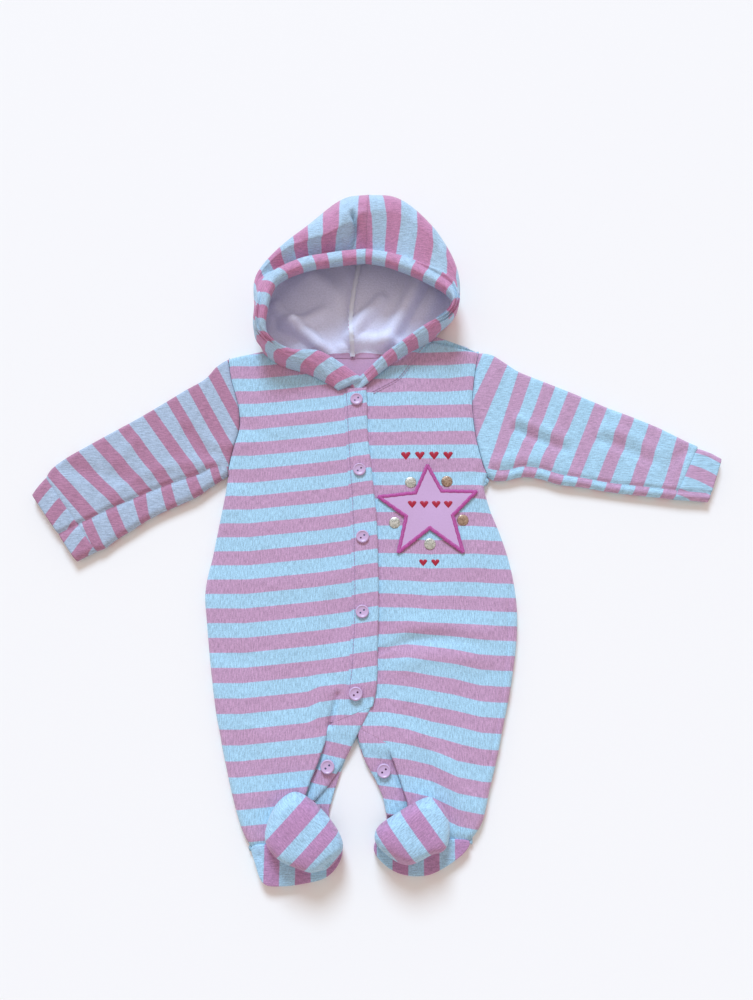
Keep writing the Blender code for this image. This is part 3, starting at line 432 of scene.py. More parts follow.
def crease_height(points: np.ndarray, creases: Sequence) -> np.ndarray:
    """How far these creases lift or sink the cloth at each point."""
    total = np.zeros(len(points))
    for line, half_width, height, fade in creases:
        fine = fine_line(np.array(line, float), 4.0)
        ahead = (fine[-1] - fine[0]) / ((fine[-1] - fine[0]) @ (fine[-1] - fine[0]))
        share = np.clip((points - fine[0]) @ ahead, 0.0, 1.0)
        total += (height * (1.0 - fade * share * share)
                  * np.exp(-(distance_to(points, fine) / half_width) ** 2))
    return total


def ripple(points: np.ndarray, size: float = 0.35) -> np.ndarray:
    """The slow, uneven rise and fall of cloth that has been smoothed by hand."""
    x, y = points[:, 0], points[:, 1]
    return size * (np.sin(x / 13.0 + 1.3 * np.sin(y / 31.0)) * np.sin(y / 17.0 + 0.7)
                   + 0.6 * np.sin((x + 1.7 * y) / 23.0) + 0.5 * np.sin((1.4 * x - y) / 11.0))


def front_height(points: np.ndarray, piece: str, rolled: Optional[np.ndarray] = None,
                 seam: float = SEAM_HEIGHT + GAP / 2) -> np.ndarray:
    """Height of the outer face of the front layer."""
    rolled = roll(points) if rolled is None else rolled
    return seam + (FRONT_TOP - seam + crease_height(points, CREASES.get(piece, ()))
                   + ripple(points)) * rolled


def front_right_height(points: np.ndarray) -> np.ndarray:
    """The right front, which lies on top at the placket."""
    return front_height(points, "front_right")


def front_left_height(points: np.ndarray) -> np.ndarray:
    """The left front, which dips under the placket."""
    below = smooth(-points[:, 1], *TUCK_NARROWS)
    flat_from = TUCK_FLAT_FROM[0] + (TUCK_FLAT_FROM[1] - TUCK_FLAT_FROM[0]) * below
    dip = 1.0 - smooth((points[:, 0] - flat_from) / TUCK_SLOPE, -1.0, 0.0)
    flat = front_height(points, "front_left")
    return flat + dip * (np.minimum(flat, TUCKED_TOP) - flat)


def placket_height(points: np.ndarray) -> np.ndarray:
    """Outer face of the placket band, that rises from its stitched edge."""
    off = points[:, 0] - np.interp(-points[:, 1], -PLACKET[:, 2], PLACKET[:, 0])
    rise = (GAP + BAND_THICKNESS) * (0.12 + 0.88 * smooth(off, 1.0, 6.5))
    rise = rise * smooth(points[:, 1], -160.0, -146.0)
    rise -= 0.5 * (1 - smooth(points[:, 1], -162.5, -155.0))
    return front_right_height(points) + rise - 0.35 * np.exp(-((off - 1.6) / 0.9) ** 2)


def count_stripes(borders: Sequence[float]) -> np.ndarray:
    """Distance down the cloth at each border; the second is where the first pink starts."""
    return (np.arange(len(borders)) - 1) * STRIPE_PITCH / 2


def stripes_between(points: np.ndarray, borders: Sequence) -> np.ndarray:
    """Stripe number at each point, counted over the borders that it lies between.

    Args:
        points: Plan places.
        borders: Rows of stripe number, x and y of one end, x and y of the other end.

    Returns:
        A stripe number for each point, whole at the start of a pink stripe.
    """
    table = np.array(borders, float)
    start, end = table[:, 1:3], table[:, 3:5]
    side = np.sign(table[-1, 1] - table[0, 1])
    direction = (end - start) / np.hypot(*(end - start).T)[:, None]
    normal = np.column_stack((-direction[:, 1], direction[:, 0])) * side
    if (normal[:, 0] * side).sum() < 0:
        normal = -normal
    away = ((points[:, None, :] - start[None]) * normal[None]).sum(axis=2)
    index = np.clip((away >= 0).sum(axis=1) - 1, 0, len(table) - 2)
    rows = np.arange(len(points))
    near, far = away[rows, index], away[rows, index + 1]
    share = near / np.maximum(near - far, 1e-6)
    return table[index, 0] + share * (table[index + 1, 0] - table[index, 0])


# --- Finishes --------------------------------------------------------------------------------
def linear(colour: str) -> tuple[float, float, float, float]:
    """A hex sRGB colour as the linear values that shaders use."""
    parts = [int(colour[index:index + 2], 16) / 255.0 for index in (1, 3, 5)]
    return (*[part / 12.92 if part <= 0.04045 else ((part + 0.055) / 1.055) ** 2.4
              for part in parts], 1.0)


def add_node(tree: bpy.types.NodeTree, kind: str, inputs: Optional[dict] = None,
             **settings) -> bpy.types.Node:
    """Adds a node with its settings, and with values or links for its inputs."""
    node = tree.nodes.new(kind)
    for name, value in settings.items():
        setattr(node, name, value)
    for key, value in (inputs or {}).items():
        if isinstance(value, bpy.types.NodeSocket):
            tree.links.new(value, node.inputs[key])
        else:
            node.inputs[key].default_value = value
    return node


@dataclass(frozen=True)
class StripedJersey:
    """Cotton jersey knitted in two colours, brushed by wear: its stripes are the whole look."""
    name: str = "striped cotton jersey"
    pink: str = "#C69BB9"
    white: str = "#ADD4E8"
    roughness: float = 0.92
    sheen: float = 0.25
    rib: float = 1.15            # width of a wale, mm
    wobble: float = 0.5          # how far a stripe's border wanders, mm


# Copies of the same striped cloth with painted shade: their deeper pinks and duller whites stand in
# for the shade that falls on the hood, the right sleeve and the feet
HOOD_JERSEY_PAINTED_SHADE = StripedJersey("striped cotton jersey, hood, painted shade", "#CC8BAE", "#B4D0E4")
SLEEVE_JERSEY_PAINTED_SHADE = StripedJersey("striped cotton jersey, sleeve", "#B67F9A", "#AFBFD2")
FOOT_JERSEY_PAINTED_SHADE = StripedJersey("striped cotton jersey, feet, painted shade", "#BE8BB2", "#ADD2E8")


@dataclass(frozen=True)
class PlainFinish:
    """One colour, with an optional fine grain in tone and relief."""
    name: str
    colour: str
    roughness: float
    sheen: float = 0.0           # weight of the fibres' edge light
    grain: float = 0.0           # how far the tone varies
    scale: float = 1000.0        # of the grain, waves per metre
    relief: float = 0.3          # height of the grain, mm


@dataclass(frozen=True)
class Glitter:
    """Flakes in a clear glue: each flake catches the light on its own."""
    name: str
    colour: str
    dark: str


# Dull, matt and unstriped: tells the inside of the suit from its outside
FLEECE = PlainFinish("brushed fleece back", "#E7E7FB", 1.0, 0.4, 0.07, 700.0, 0.8)
# A smooth calm ground that the stitched edge stands out from
STAR_JERSEY = PlainFinish("plain pink jersey", "#CFA9CE", 0.85, 0.2, 0.03, 900.0, 0.15)
# Plain pink on the inside round the neck: a quiet pink step between the striped front and the pale
# fleece
NECK_INSIDE_PINK = PlainFinish("plain pink inside the neck", "#C79DB9", 0.95, 0.3, 0.08, 700.0, 0.4)
# Glossy moulded plastic, slightly pearly
POLYESTER = PlainFinish("pearly polyester button", "#CFAFD0", 0.3)
# The strongest colour, its shine broken up by single threads
MAGENTA_THREAD = PlainFinish("magenta rayon thread", "#BC4F9A", 0.4, 0.0, 0.22, 900.0, 0.2)
# Small saturated accents with a soft shine
RED_THREAD = PlainFinish("red rayon thread", "#B8203C", 0.45)
# Close to the cloth's colour, so that a row of stitches reads as a fine dashed line
SEWING_THREAD = PlainFinish("pale sewing thread", "#B79BB8", 0.6)
# A pale ridge that draws the hood's middle
OVERLOCK_THREAD = PlainFinish("white overlock thread", "#E6E8F2", 0.8, 0.2)
# Pale and dark spots that sparkle unevenly
CREAM_GLITTER = Glitter("cream glitter", "#E8E2D2", "#A8A596")
GOLD_GLITTER = Glitter("gold glitter", "#C9A88C", "#8C6C58")
# A bright matt ground that takes only a soft shadow
PAPER = PlainFinish("matt white paper", "#FCF7F1", 0.9)

MIX_FIRST, MIX_SECOND, MIX_RESULT = 6, 7, 2      # sockets of a colour mix


def new_material(name: str) -> tuple[bpy.types.Material, bpy.types.NodeTree, bpy.types.Node]:
    """A material, its node tree and its shader."""
    made = bpy.data.materials.new(name)
    made.use_nodes = True
    tree = made.node_tree
    return made, tree, tree.nodes["Principled BSDF"]


def jersey_material(finish: StripedJersey) -> bpy.types.Material:
    """Stripes across the cloth map, with the knit's wales and a worn nap."""
    made, tree, shader = new_material(finish.name)
    cloth = add_node(tree, "ShaderNodeUVMap", uv_map=CLOTH_MAP).outputs["UV"]
    parts = add_node(tree, "ShaderNodeSeparateXYZ", {"Vector": cloth})
    across, down = parts.outputs["X"], parts.outputs["Y"]
    wander = add_node(tree, "ShaderNodeTexNoise", {"Vector": cloth, "Scale": 0.35, "Detail": 3.0},
                      noise_dimensions="2D")
    moved = add_node(tree, "ShaderNodeMath", {0: wander.outputs["Fac"], 1: finish.wobble,
                                              2: down}, operation="MULTIPLY_ADD")
    turn = add_node(tree, "ShaderNodeMath", {0: moved.outputs[0],
                                             1: 2 * math.pi / STRIPE_PITCH}, operation="MULTIPLY")
    wave = add_node(tree, "ShaderNodeMath", {0: turn.outputs[0]}, operation="SINE")
    pink = add_node(tree, "ShaderNodeMath", {0: wave.outputs[0], 1: 7.0, 2: 0.5},
                    operation="MULTIPLY_ADD", use_clamp=True)
    stripes = add_node(tree, "ShaderNodeMix", {"Factor": pink.outputs[0],
                                               MIX_FIRST: linear(finish.white),
                                               MIX_SECOND: linear(finish.pink)},
                       data_type="RGBA")
    worn = add_node(tree, "ShaderNodeTexNoise", {"Vector": cloth, "Scale": 0.9, "Detail": 6.0,
                                                 "Roughness": 0.75}, noise_dimensions="2D")
    thin = add_node(tree, "ShaderNodeVectorMath", {0: cloth, 1: (1.5, 0.28, 1.0)},
                    operation="MULTIPLY")
    streaks = add_node(tree, "ShaderNodeTexNoise", {"Vector": thin.outputs[0], "Scale": 0.7,
                                                    "Detail": 4.0, "Roughness": 0.6},
                       noise_dimensions="2D")
    both = add_node(tree, "ShaderNodeMix", {"Factor": 0.5, "A": worn.outputs["Fac"],
                                            "B": streaks.outputs["Fac"]}, data_type="FLOAT")
    tone = add_node(tree, "ShaderNodeMapRange", {"Value": both.outputs[0], "From Min": 0.36,
                                                 "From Max": 0.64, "To Min": 0.70,
                                                 "To Max": 1.26})
    toned = add_node(tree, "ShaderNodeMix", {0: 1.0, MIX_FIRST: stripes.outputs[MIX_RESULT],
                                             MIX_SECOND: tone.outputs[0]},
                     data_type="RGBA", blend_type="MULTIPLY")
    wales = add_node(tree, "ShaderNodeMath", {0: across, 1: 2 * math.pi / finish.rib},
                     operation="MULTIPLY")
    wale = add_node(tree, "ShaderNodeMath", {0: wales.outputs[0]}, operation="SINE")
    nap = add_node(tree, "ShaderNodeTexNoise", {"Vector": cloth, "Scale": 1.6, "Detail": 4.0},
                   noise_dimensions="2D")
    relief = add_node(tree, "ShaderNodeMath", {0: wale.outputs[0], 1: 0.12,
                                               2: nap.outputs["Fac"]}, operation="MULTIPLY_ADD")
    bump = add_node(tree, "ShaderNodeBump", {"Strength": 0.55, "Distance": 0.35 * MM,
                                             "Height": relief.outputs[0]})
    tree.links.new(toned.outputs[MIX_RESULT], shader.inputs["Base Color"])
    tree.links.new(bump.outputs["Normal"], shader.inputs["Normal"])
    shader.inputs["Roughness"].default_value = finish.roughness
    shader.inputs["Sheen Weight"].default_value = finish.sheen
    shader.inputs["Sheen Roughness"].default_value = 0.5
    return made


def plain_material(finish: PlainFinish) -> bpy.types.Material:
    """One colour, and its grain where it has one.

    Args:
        finish: The finish.

    Returns:
        The material.
    """
    made, tree, shader = new_material(finish.name)
    shader.inputs["Base Color"].default_value = linear(finish.colour)
    shader.inputs["Roughness"].default_value = finish.roughness
    shader.inputs["Sheen Weight"].default_value = finish.sheen
    if finish.grain:
        place = add_node(tree, "ShaderNodeTexCoord").outputs["Object"]
        nap = add_node(tree, "ShaderNodeTexNoise", {"Vector": place, "Scale": finish.scale,
                                                    "Detail": 4.0})
        tone = add_node(tree, "ShaderNodeMapRange", {
            "Value": nap.outputs["Fac"], "From Min": 0.3, "From Max": 0.7,
            "To Min": 1.0 - finish.grain, "To Max": 1.0 + finish.grain})
        toned = add_node(tree, "ShaderNodeMix", {0: 1.0, MIX_FIRST: linear(finish.colour),
                                                 MIX_SECOND: tone.outputs[0]},
                         data_type="RGBA", blend_type="MULTIPLY")
        bump = add_node(tree, "ShaderNodeBump", {
            "Strength": 0.6, "Distance": finish.relief * MM, "Height": nap.outputs["Fac"]})
        tree.links.new(toned.outputs[MIX_RESULT], shader.inputs["Base Color"])
        tree.links.new(bump.outputs["Normal"], shader.inputs["Normal"])
    return made


def glitter_material(finish: Glitter) -> bpy.types.Material:
    """Flakes of two tones, each tilted its own way."""
    made, tree, shader = new_material(finish.name)
    place = add_node(tree, "ShaderNodeTexCoord").outputs["Object"]
    flakes = add_node(tree, "ShaderNodeTexVoronoi", {"Vector": place, "Scale": 900.0})
    parts = add_node(tree, "ShaderNodeSeparateXYZ", {"Vector": flakes.outputs["Color"]})
    tone = add_node(tree, "ShaderNodeMix", {0: parts.outputs["X"],
                                            MIX_FIRST: linear(finish.dark),
                                            MIX_SECOND: linear(finish.colour)},
                    data_type="RGBA")
    bump = add_node(tree, "ShaderNodeBump", {"Strength": 0.8, "Distance": 0.5 * MM,
                                             "Height": parts.outputs["Y"]})
    tree.links.new(tone.outputs[MIX_RESULT], shader.inputs["Base Color"])
    tree.links.new(bump.outputs["Normal"], shader.inputs["Normal"])
    shader.inputs["Metallic"].default_value = 0.5
    shader.inputs["Roughness"].default_value = 0.35
    return made


class Finishes:
    """Every material of the suit, made once."""

    def __init__(self) -> None:
        self.jersey = jersey_material(StripedJersey())
        # The hood, sleeve and foot materials are the copies of the striped cloth with painted shade
        self.hood = jersey_material(HOOD_JERSEY_PAINTED_SHADE)
        self.sleeve = jersey_material(SLEEVE_JERSEY_PAINTED_SHADE)
        self.foot = jersey_material(FOOT_JERSEY_PAINTED_SHADE)
        self.fleece = plain_material(FLEECE)
        self.plain = plain_material(STAR_JERSEY)
        # The plain pink on the inside round the neck
        self.facing = plain_material(NECK_INSIDE_PINK)
        self.plastic = plain_material(POLYESTER)
        self.satin = plain_material(MAGENTA_THREAD)
        self.red = plain_material(RED_THREAD)
        self.sewing = plain_material(SEWING_THREAD)
        self.overlock = plain_material(OVERLOCK_THREAD)
        self.cream = glitter_material(CREAM_GLITTER)
        self.gold = glitter_material(GOLD_GLITTER)


# --- Pieces ----------------------------------------------------------------------------------
class Slot(Enum):
    """The record's material slots."""
    JERSEY = "striped_jersey"
    STAR = "star_cloth"
    BUTTON = "button_plastic"


def finish_piece(name: str, bm: bmesh.types.BMesh, looks: Sequence[bpy.types.Material],
                 replaced: Sequence[str] = ()) -> bpy.types.Object:
    """Turns a bmesh in plan millimetres into a dressed object in metres.

    Args:
        name: The object's name.
        bm: The mesh, freed here.
        looks: Its materials, in order.
        replaced: The CAD nodes that it stands for.

    Returns:
        The linked object.
    """
    bmesh.ops.translate(bm, vec=Vector(-PLAN_MIDDLE), verts=bm.verts)
    bmesh.ops.scale(bm, vec=(MM, MM, MM), verts=bm.verts)
    mesh = bpy.data.meshes.new(name)
    bm.to_mesh(mesh)
    bm.free()
    for look in looks:
        mesh.materials.append(look)
    mesh.shade_smooth()
    piece = bpy.data.objects.new(name, mesh)
    bpy.context.scene.collection.objects.link(piece)
    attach(piece, ROOT)
    if replaced:
        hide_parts(*replaced)
    log.info("%s: %d faces", name, len(mesh.polygons))
    return piece


class Cloth:
    """A piece of cloth, sewn from patches of fine mesh that share a map of the cloth."""

    def __init__(self, name: str) -> None:
        self.name = name
        self.bm = bmesh.new()
        self.map = self.bm.loops.layers.uv.new(CLOTH_MAP)

    def patch(self, points: np.ndarray, across: np.ndarray, down: np.ndarray,
              middle: Sequence[float], look: int | np.ndarray = 0) -> None:
        """Adds a grid of points with the cloth's own place at each, in mm.

        Args:
            points: Rows by columns by x, y, z.
            across: The cloth's place along its stripes at each point.
            down: Its place across them.
            middle: A place inside, that the faces point away from.
            look: Index of its material, or one for each row of faces.
        """
        rows, columns = points.shape[:2]
        first_vert, first_face = len(self.bm.verts), len(self.bm.faces)
        made = bmesh.ops.create_grid(self.bm, x_segments=columns - 1, y_segments=rows - 1,
                                     size=1.0)["verts"]
        for vert, place in zip(made, points.reshape(-1, 3)):
            vert.co = place
        self.bm.verts.index_update()
        self.bm.faces.ensure_lookup_table()
        places = np.column_stack((across.reshape(-1), down.reshape(-1)))
        faces = self.bm.faces[first_face:]
        looks = np.broadcast_to(look, rows - 1)
        for face in faces:
            row = (min(vert.index for vert in face.verts) - first_vert) // columns
            face.material_index = int(looks[row])
            for loop in face.loops:
                loop[self.map].uv = places[loop.vert.index - first_vert]
            face.normal_update()
        inside = Vector(middle)
        if sum(face.normal.dot(face.calc_center_median() - inside) * face.calc_area()
               for face in faces) < 0:
            bmesh.ops.reverse_faces(self.bm, faces=faces)

    def finish(self, looks: Sequence[bpy.types.Material], wall: float,
               replaced: Sequence[str], slot: Slot = Slot.JERSEY,
               inner_look: int = 0) -> bpy.types.Object:
        """Joins the patches and gives the cloth its thickness."""
        bmesh.ops.remove_doubles(self.bm, verts=self.bm.verts[:], dist=WELD)
        piece = finish_piece(self.name, self.bm, looks, replaced)
        if wall:
            thickness = piece.modifiers.new("cloth", "SOLIDIFY")
            thickness.thickness = wall * MM
            thickness.offset = -1.0
            thickness.material_offset = inner_look
        return piece


class Body:
    """The two fronts and the back."""

    step = 1.7
    leg_edge_row = 20        # of a front's inner edge, where the leg's own edge begins
    fronts = {"front_right": (ARMHOLE_RIGHT, SIDE_RIGHT, INNER_FRONT_RIGHT, front_right_height),
              "front_left": (ARMHOLE_LEFT, SIDE_LEFT, INNER_FRONT_LEFT, front_left_height)}

    def __init__(self, finishes: Finishes) -> None:
        self.finishes = finishes

    def plan(self, outer: np.ndarray, inner: np.ndarray, step: float) -> np.ndarray:
        """Rows of plan places between two edges, closer together over the rolled edge."""
        drop = np.hypot(*(outer[1] - outer[0]))
        places = row_places([outer, inner], step)
        places = np.unique(np.concatenate(
            (places[places > EDGE_ROLL / drop], np.array(FINE_ROLL) * EDGE_ROLL / drop)))
        outer, inner = through(outer, places), between(inner, places)
        width = np.hypot(*(inner - outer).T)
        near = np.array(FINE_ROLL)[None, :] * EDGE_ROLL / width[:, None]
        count = int(math.ceil((width.max() - EDGE_ROLL) / step))
        share = np.linspace(0.0, 1.0, count + 1)[1:]
        far = near[:, -1:] + (1.0 - near[:, -1:]) * share
        shares = np.hstack((near, far))
        return outer[:, None] + (inner - outer)[:, None] * shares[..., None]

    def stripe(self, name: str, points: np.ndarray) -> np.ndarray:
        """Distance down the cloth from its first pink stripe."""
        x, y = points[:, 0], points[:, 1]
        if name == "front_right":
            top = np.interp(x, *np.array(FIRST_STRIPE_RIGHT, float).T)
            kink = smooth(x, -58, -46) * (1 - smooth(x, -34, -8))
            top += 3.0 * kink * smooth(-y, 132, 148) * (1 - smooth(-y, 170, 190))
            return top - y
        if name == "front_left":
            top = np.interp(x, *np.array(FIRST_STRIPE_LEFT, float).T)
            table = np.array(DRAWN_UP, float)[::-1]
            columns = np.array([np.interp(y, table[:, 0], table[:, column + 1])
                                for column in range(len(DRAWN_UP_AT))]).T
            where = np.interp(x, DRAWN_UP_AT, np.arange(len(DRAWN_UP_AT)))
            index = np.minimum(where.astype(int), len(DRAWN_UP_AT) - 2)
            rows = np.arange(len(x))
            share = where - index
            return top + columns[rows, index] * (1 - share) + columns[rows, index + 1] * share - y
        return -4.0 + 10.0 * smooth(-y, 185, 215) - y

    def front(self, name: str) -> bpy.types.Object:
        """A front, from the shoulder seam to the ankle."""
        armhole, side, inner, height = self.fronts[name]
        outer = np.vstack((armhole, side[1:]))
        plan = self.plan(outer, inner, self.step)
        flat = plan.reshape(-1, 2)
        z = height(flat)
        z -= 1.3 * np.exp(-(distance_to(flat, armhole) / 1.8) ** 2)
        z -= 1.6 * (1 - quarter(distance_to(flat, inner[self.leg_edge_row:]), 2.4))
        foot = np.array((outer[-1], inner[-1]))
        z -= 2.4 * (1 - smooth(distance_to(flat, foot), 0.0, 8.0))
        z = z.reshape(plan.shape[:2])
        z[0] = SEAM_HEIGHT + GAP / 2
        z[plan[:, 0, 1] < 34, 0] = SEAM_HEIGHT + GAP / 2
        stripe = self.stripe(name, flat).reshape(plan.shape[:2])
        cloth = Cloth(name + "_cloth")
        cloth.patch(np.dstack((plan, z)), plan[..., 0], stripe, (*inner.mean(axis=0), -900.0))
        piece = cloth.finish([self.finishes.jersey, self.finishes.fleece], WALL, [name],
                             inner_look=1)
        return piece

    def back(self) -> bpy.types.Object:
        """The back: one piece of cloth, split only between the legs."""
        cloth = Cloth("back_cloth")
        for armhole, side, neck, leg in (
                (ARMHOLE_RIGHT, SIDE_RIGHT, NECK_BACK_RIGHT, INSIDE_LEG_RIGHT),
                (ARMHOLE_LEFT, SIDE_LEFT, NECK_BACK_LEFT, INSIDE_LEG_LEFT)):
            inner = np.vstack((neck, CENTRE_BACK, leg))
            plan = self.plan(np.vstack((armhole, side[1:])), inner, 2.1)
            flat = plan.reshape(-1, 2)
            z = ((SEAM_HEIGHT - GAP / 2) * (1 - roll(flat))).reshape(plan.shape[:2])
            stripe = self.stripe("back", flat).reshape(plan.shape[:2])
            cloth.patch(np.dstack((plan, z)), plan[..., 0], stripe, (0.0, -50.0, 900.0))
        for face in cloth.bm.faces:
            place = face.calc_center_median().y
            face.material_index = 4 if place > 112 else 0 if place > 60 else 2
        jersey = self.finishes.jersey
        piece = cloth.finish([jersey, self.finishes.fleece, jersey, jersey, jersey,
                              self.finishes.facing], WALL, ["back"], inner_look=1)
        return piece

    def build(self) -> None:
        """Makes the three pieces."""
        self.back()
        for name in self.fronts:
            self.front(name)


class Arm:
    """A sleeve and its cuff, each a flattened tube."""

    step = 1.7

    def __init__(self, side: str, finishes: Finishes) -> None:
        self.side = side
        self.finishes = finishes
        right = side == "right"
        self.armhole = ARMHOLE_RIGHT if right else ARMHOLE_LEFT
        self.sections = SLEEVE_RIGHT if right else SLEEVE_LEFT
        self.cuff_sections = CUFF_RIGHT if right else CUFF_LEFT
        self.away = -ARMHOLE_AWAY if right else ARMHOLE_AWAY
        self.above = BORDERS_RIGHT if right else BORDERS_LEFT
        self.below = BORDERS_RIGHT_BELOW if right else BORDERS_LEFT_BELOW
        self.crease_depth = 2.4 if right else 1.6
        self.cuff_shift = 0.0 if right else 6.0

    def places(self, length: float, crease_up: float, upper: int, lower: int) -> np.ndarray:
        """Distances along a section, from its top edge to its lower edge."""
        rolled = np.array(FINE_ROLL) * EDGE_ROLL
        crease = length - crease_up
        low = length - rolled[-1]
        return np.concatenate((
            rolled, np.linspace(rolled[-1], crease, upper + 1)[1:],
            np.linspace(crease, max(low, crease + 0.4), lower + 1)[1:], length - rolled[-2::-1]))

    def rings(self, table: Sequence, upper: int, lower: int,
              start: Optional[np.ndarray] = None) -> tuple[np.ndarray, np.ndarray]:
        """Plan places and their distances from the nearer edge, section by section."""
        plans, edges = [], []
        if start is not None:
            length = line_length(start)
            places = self.places(length, ARMHOLE_CREASE_UP, upper, lower)
            fine = fine_line(start, 1.0)
            plans.append(along(fine, places * line_length(fine) / length)
                         + np.array((self.away, 0.0)))
            edges.append(np.minimum(places, length - places))
        for top_x, top_y, under_x, under_y, crease_up in table:
            section = np.array(((top_x, top_y), (under_x, under_y)), float)
            length = line_length(section)
            places = self.places(length, crease_up, upper, lower)
            plans.append(along(section, places))
            edges.append(np.minimum(places, length - places))
        plans, edges = np.array(plans), np.array(edges)
        lines = [plans[:, 0], plans[:, -1]]
        where = row_places(lines, self.step)
        flat = through(plans.reshape(len(plans), -1), where)
        return flat.reshape(len(where), -1, 2), np.maximum(through(edges, where), 0.0)

    def tube(self, name: str, plan: np.ndarray, edge: np.ndarray, upper: int, lower: int,
             stripes: Callable[[np.ndarray, str], np.ndarray],
             ends: bool) -> bpy.types.Object:
        """The tube through rings of plan places, front over back."""
        shape = plan.shape[:2]
        flat = plan.reshape(-1, 2)
        rolled = quarter(edge.reshape(-1) * 0.93)
        piece = name.replace("cuff", "sleeve")
        front = front_height(flat, piece, rolled, SEAM_HEIGHT).reshape(shape)
        back = (SEAM_HEIGHT * (1 - rolled)).reshape(shape)
        split = len(FINE_ROLL) - 1 + upper
        crease = plan[:, split]
        off = distance_to(flat, crease)
        above = (np.arange(shape[1]) <= split)[None, :].repeat(shape[0], 0).reshape(-1)
        depth = np.where(above, np.exp(-(off / 1.6) ** 2), np.exp(-(off / 3.2) ** 2))
        start = smooth(np.hypot(*(crease - crease[0]).T), 0, 22)[:, None] if ends else 1.0
        front = front - self.crease_depth * depth.reshape(shape) * start
        if ends:
            front -= 1.3 * np.exp(-(distance_to(flat, plan[0]) / 1.8) ** 2).reshape(shape)
            front -= 0.9 * np.exp(-(distance_to(flat, plan[-1]) / 1.5) ** 2).reshape(shape)
        else:
            front -= 0.9 * np.exp(-(distance_to(flat, plan[0]) / 1.5) ** 2).reshape(shape)
        front[:, 0] = front[:, -1] = back[:, 0] = back[:, -1] = SEAM_HEIGHT
        cloth = Cloth(name + "_cloth")
        across = flat[:, 1].reshape(shape)
        for part, columns, z in (("above", slice(0, split + 1), front),
                                 ("below", slice(split, None), front),
                                 ("under", slice(None, None), back)):
            down = stripes(flat, part).reshape(shape)
            grid = np.dstack((plan, z))[:, columns]
            cloth.patch(grid, across[:, columns], down[:, columns],
                        (*grid[..., :2].mean(axis=(0, 1)), 900.0 if part == "under" else -900.0))
        # The right sleeve takes the copy of the striped cloth with painted shade
        look = self.finishes.sleeve if self.side == "right" else self.finishes.jersey
        return cloth.finish([look, self.finishes.fleece], WALL, [name], inner_look=1)

    def sleeve_stripes(self, points: np.ndarray, part: str) -> np.ndarray:
        """Distance along the cloth of the sleeve, with some cloth taken up in its creases."""
        stripe = stripes_between(points, self.below if part == "below" else self.above)
        taken_up = crease_height(points, CREASES["sleeve_" + self.side])
        return stripe * STRIPE_PITCH + taken_up * CREASE_TAKES_UP * (part == "above")

    def sleeve(self) -> bpy.types.Object:
        """From the armhole to the cuff seam."""
        upper, lower = (44, 12) if self.side == "right" else (52, 5)
        plan, edge = self.rings(self.sections, upper, lower, self.armhole)
        piece = self.tube("sleeve_" + self.side, plan, edge, upper, lower,
                          self.sleeve_stripes, True)
        return piece

    def cuff(self) -> bpy.types.Object:
        """The band at the end, cut with its stripes along the arm."""
        upper, lower = (30, 14) if self.side == "right" else (26, 4)
        plan, edge = self.rings(self.cuff_sections, upper, lower)
        top = plan[:, 0]

        def stripes(points: np.ndarray, part: str) -> np.ndarray:
            grid = points.reshape(plan.shape)
            off = np.hypot(*(grid - top[:, None]).transpose(2, 0, 1))
            shift = self.cuff_shift + {"above": 0.0, "below": 6.0, "under": 12.0}[part]
            return (off + shift).reshape(-1)

        piece = self.tube("cuff_" + self.side, plan, edge, upper, lower, stripes, False)
        return piece

    def build(self) -> None:
        """Makes the sleeve and the cuff."""
        self.sleeve()
        self.cuff()


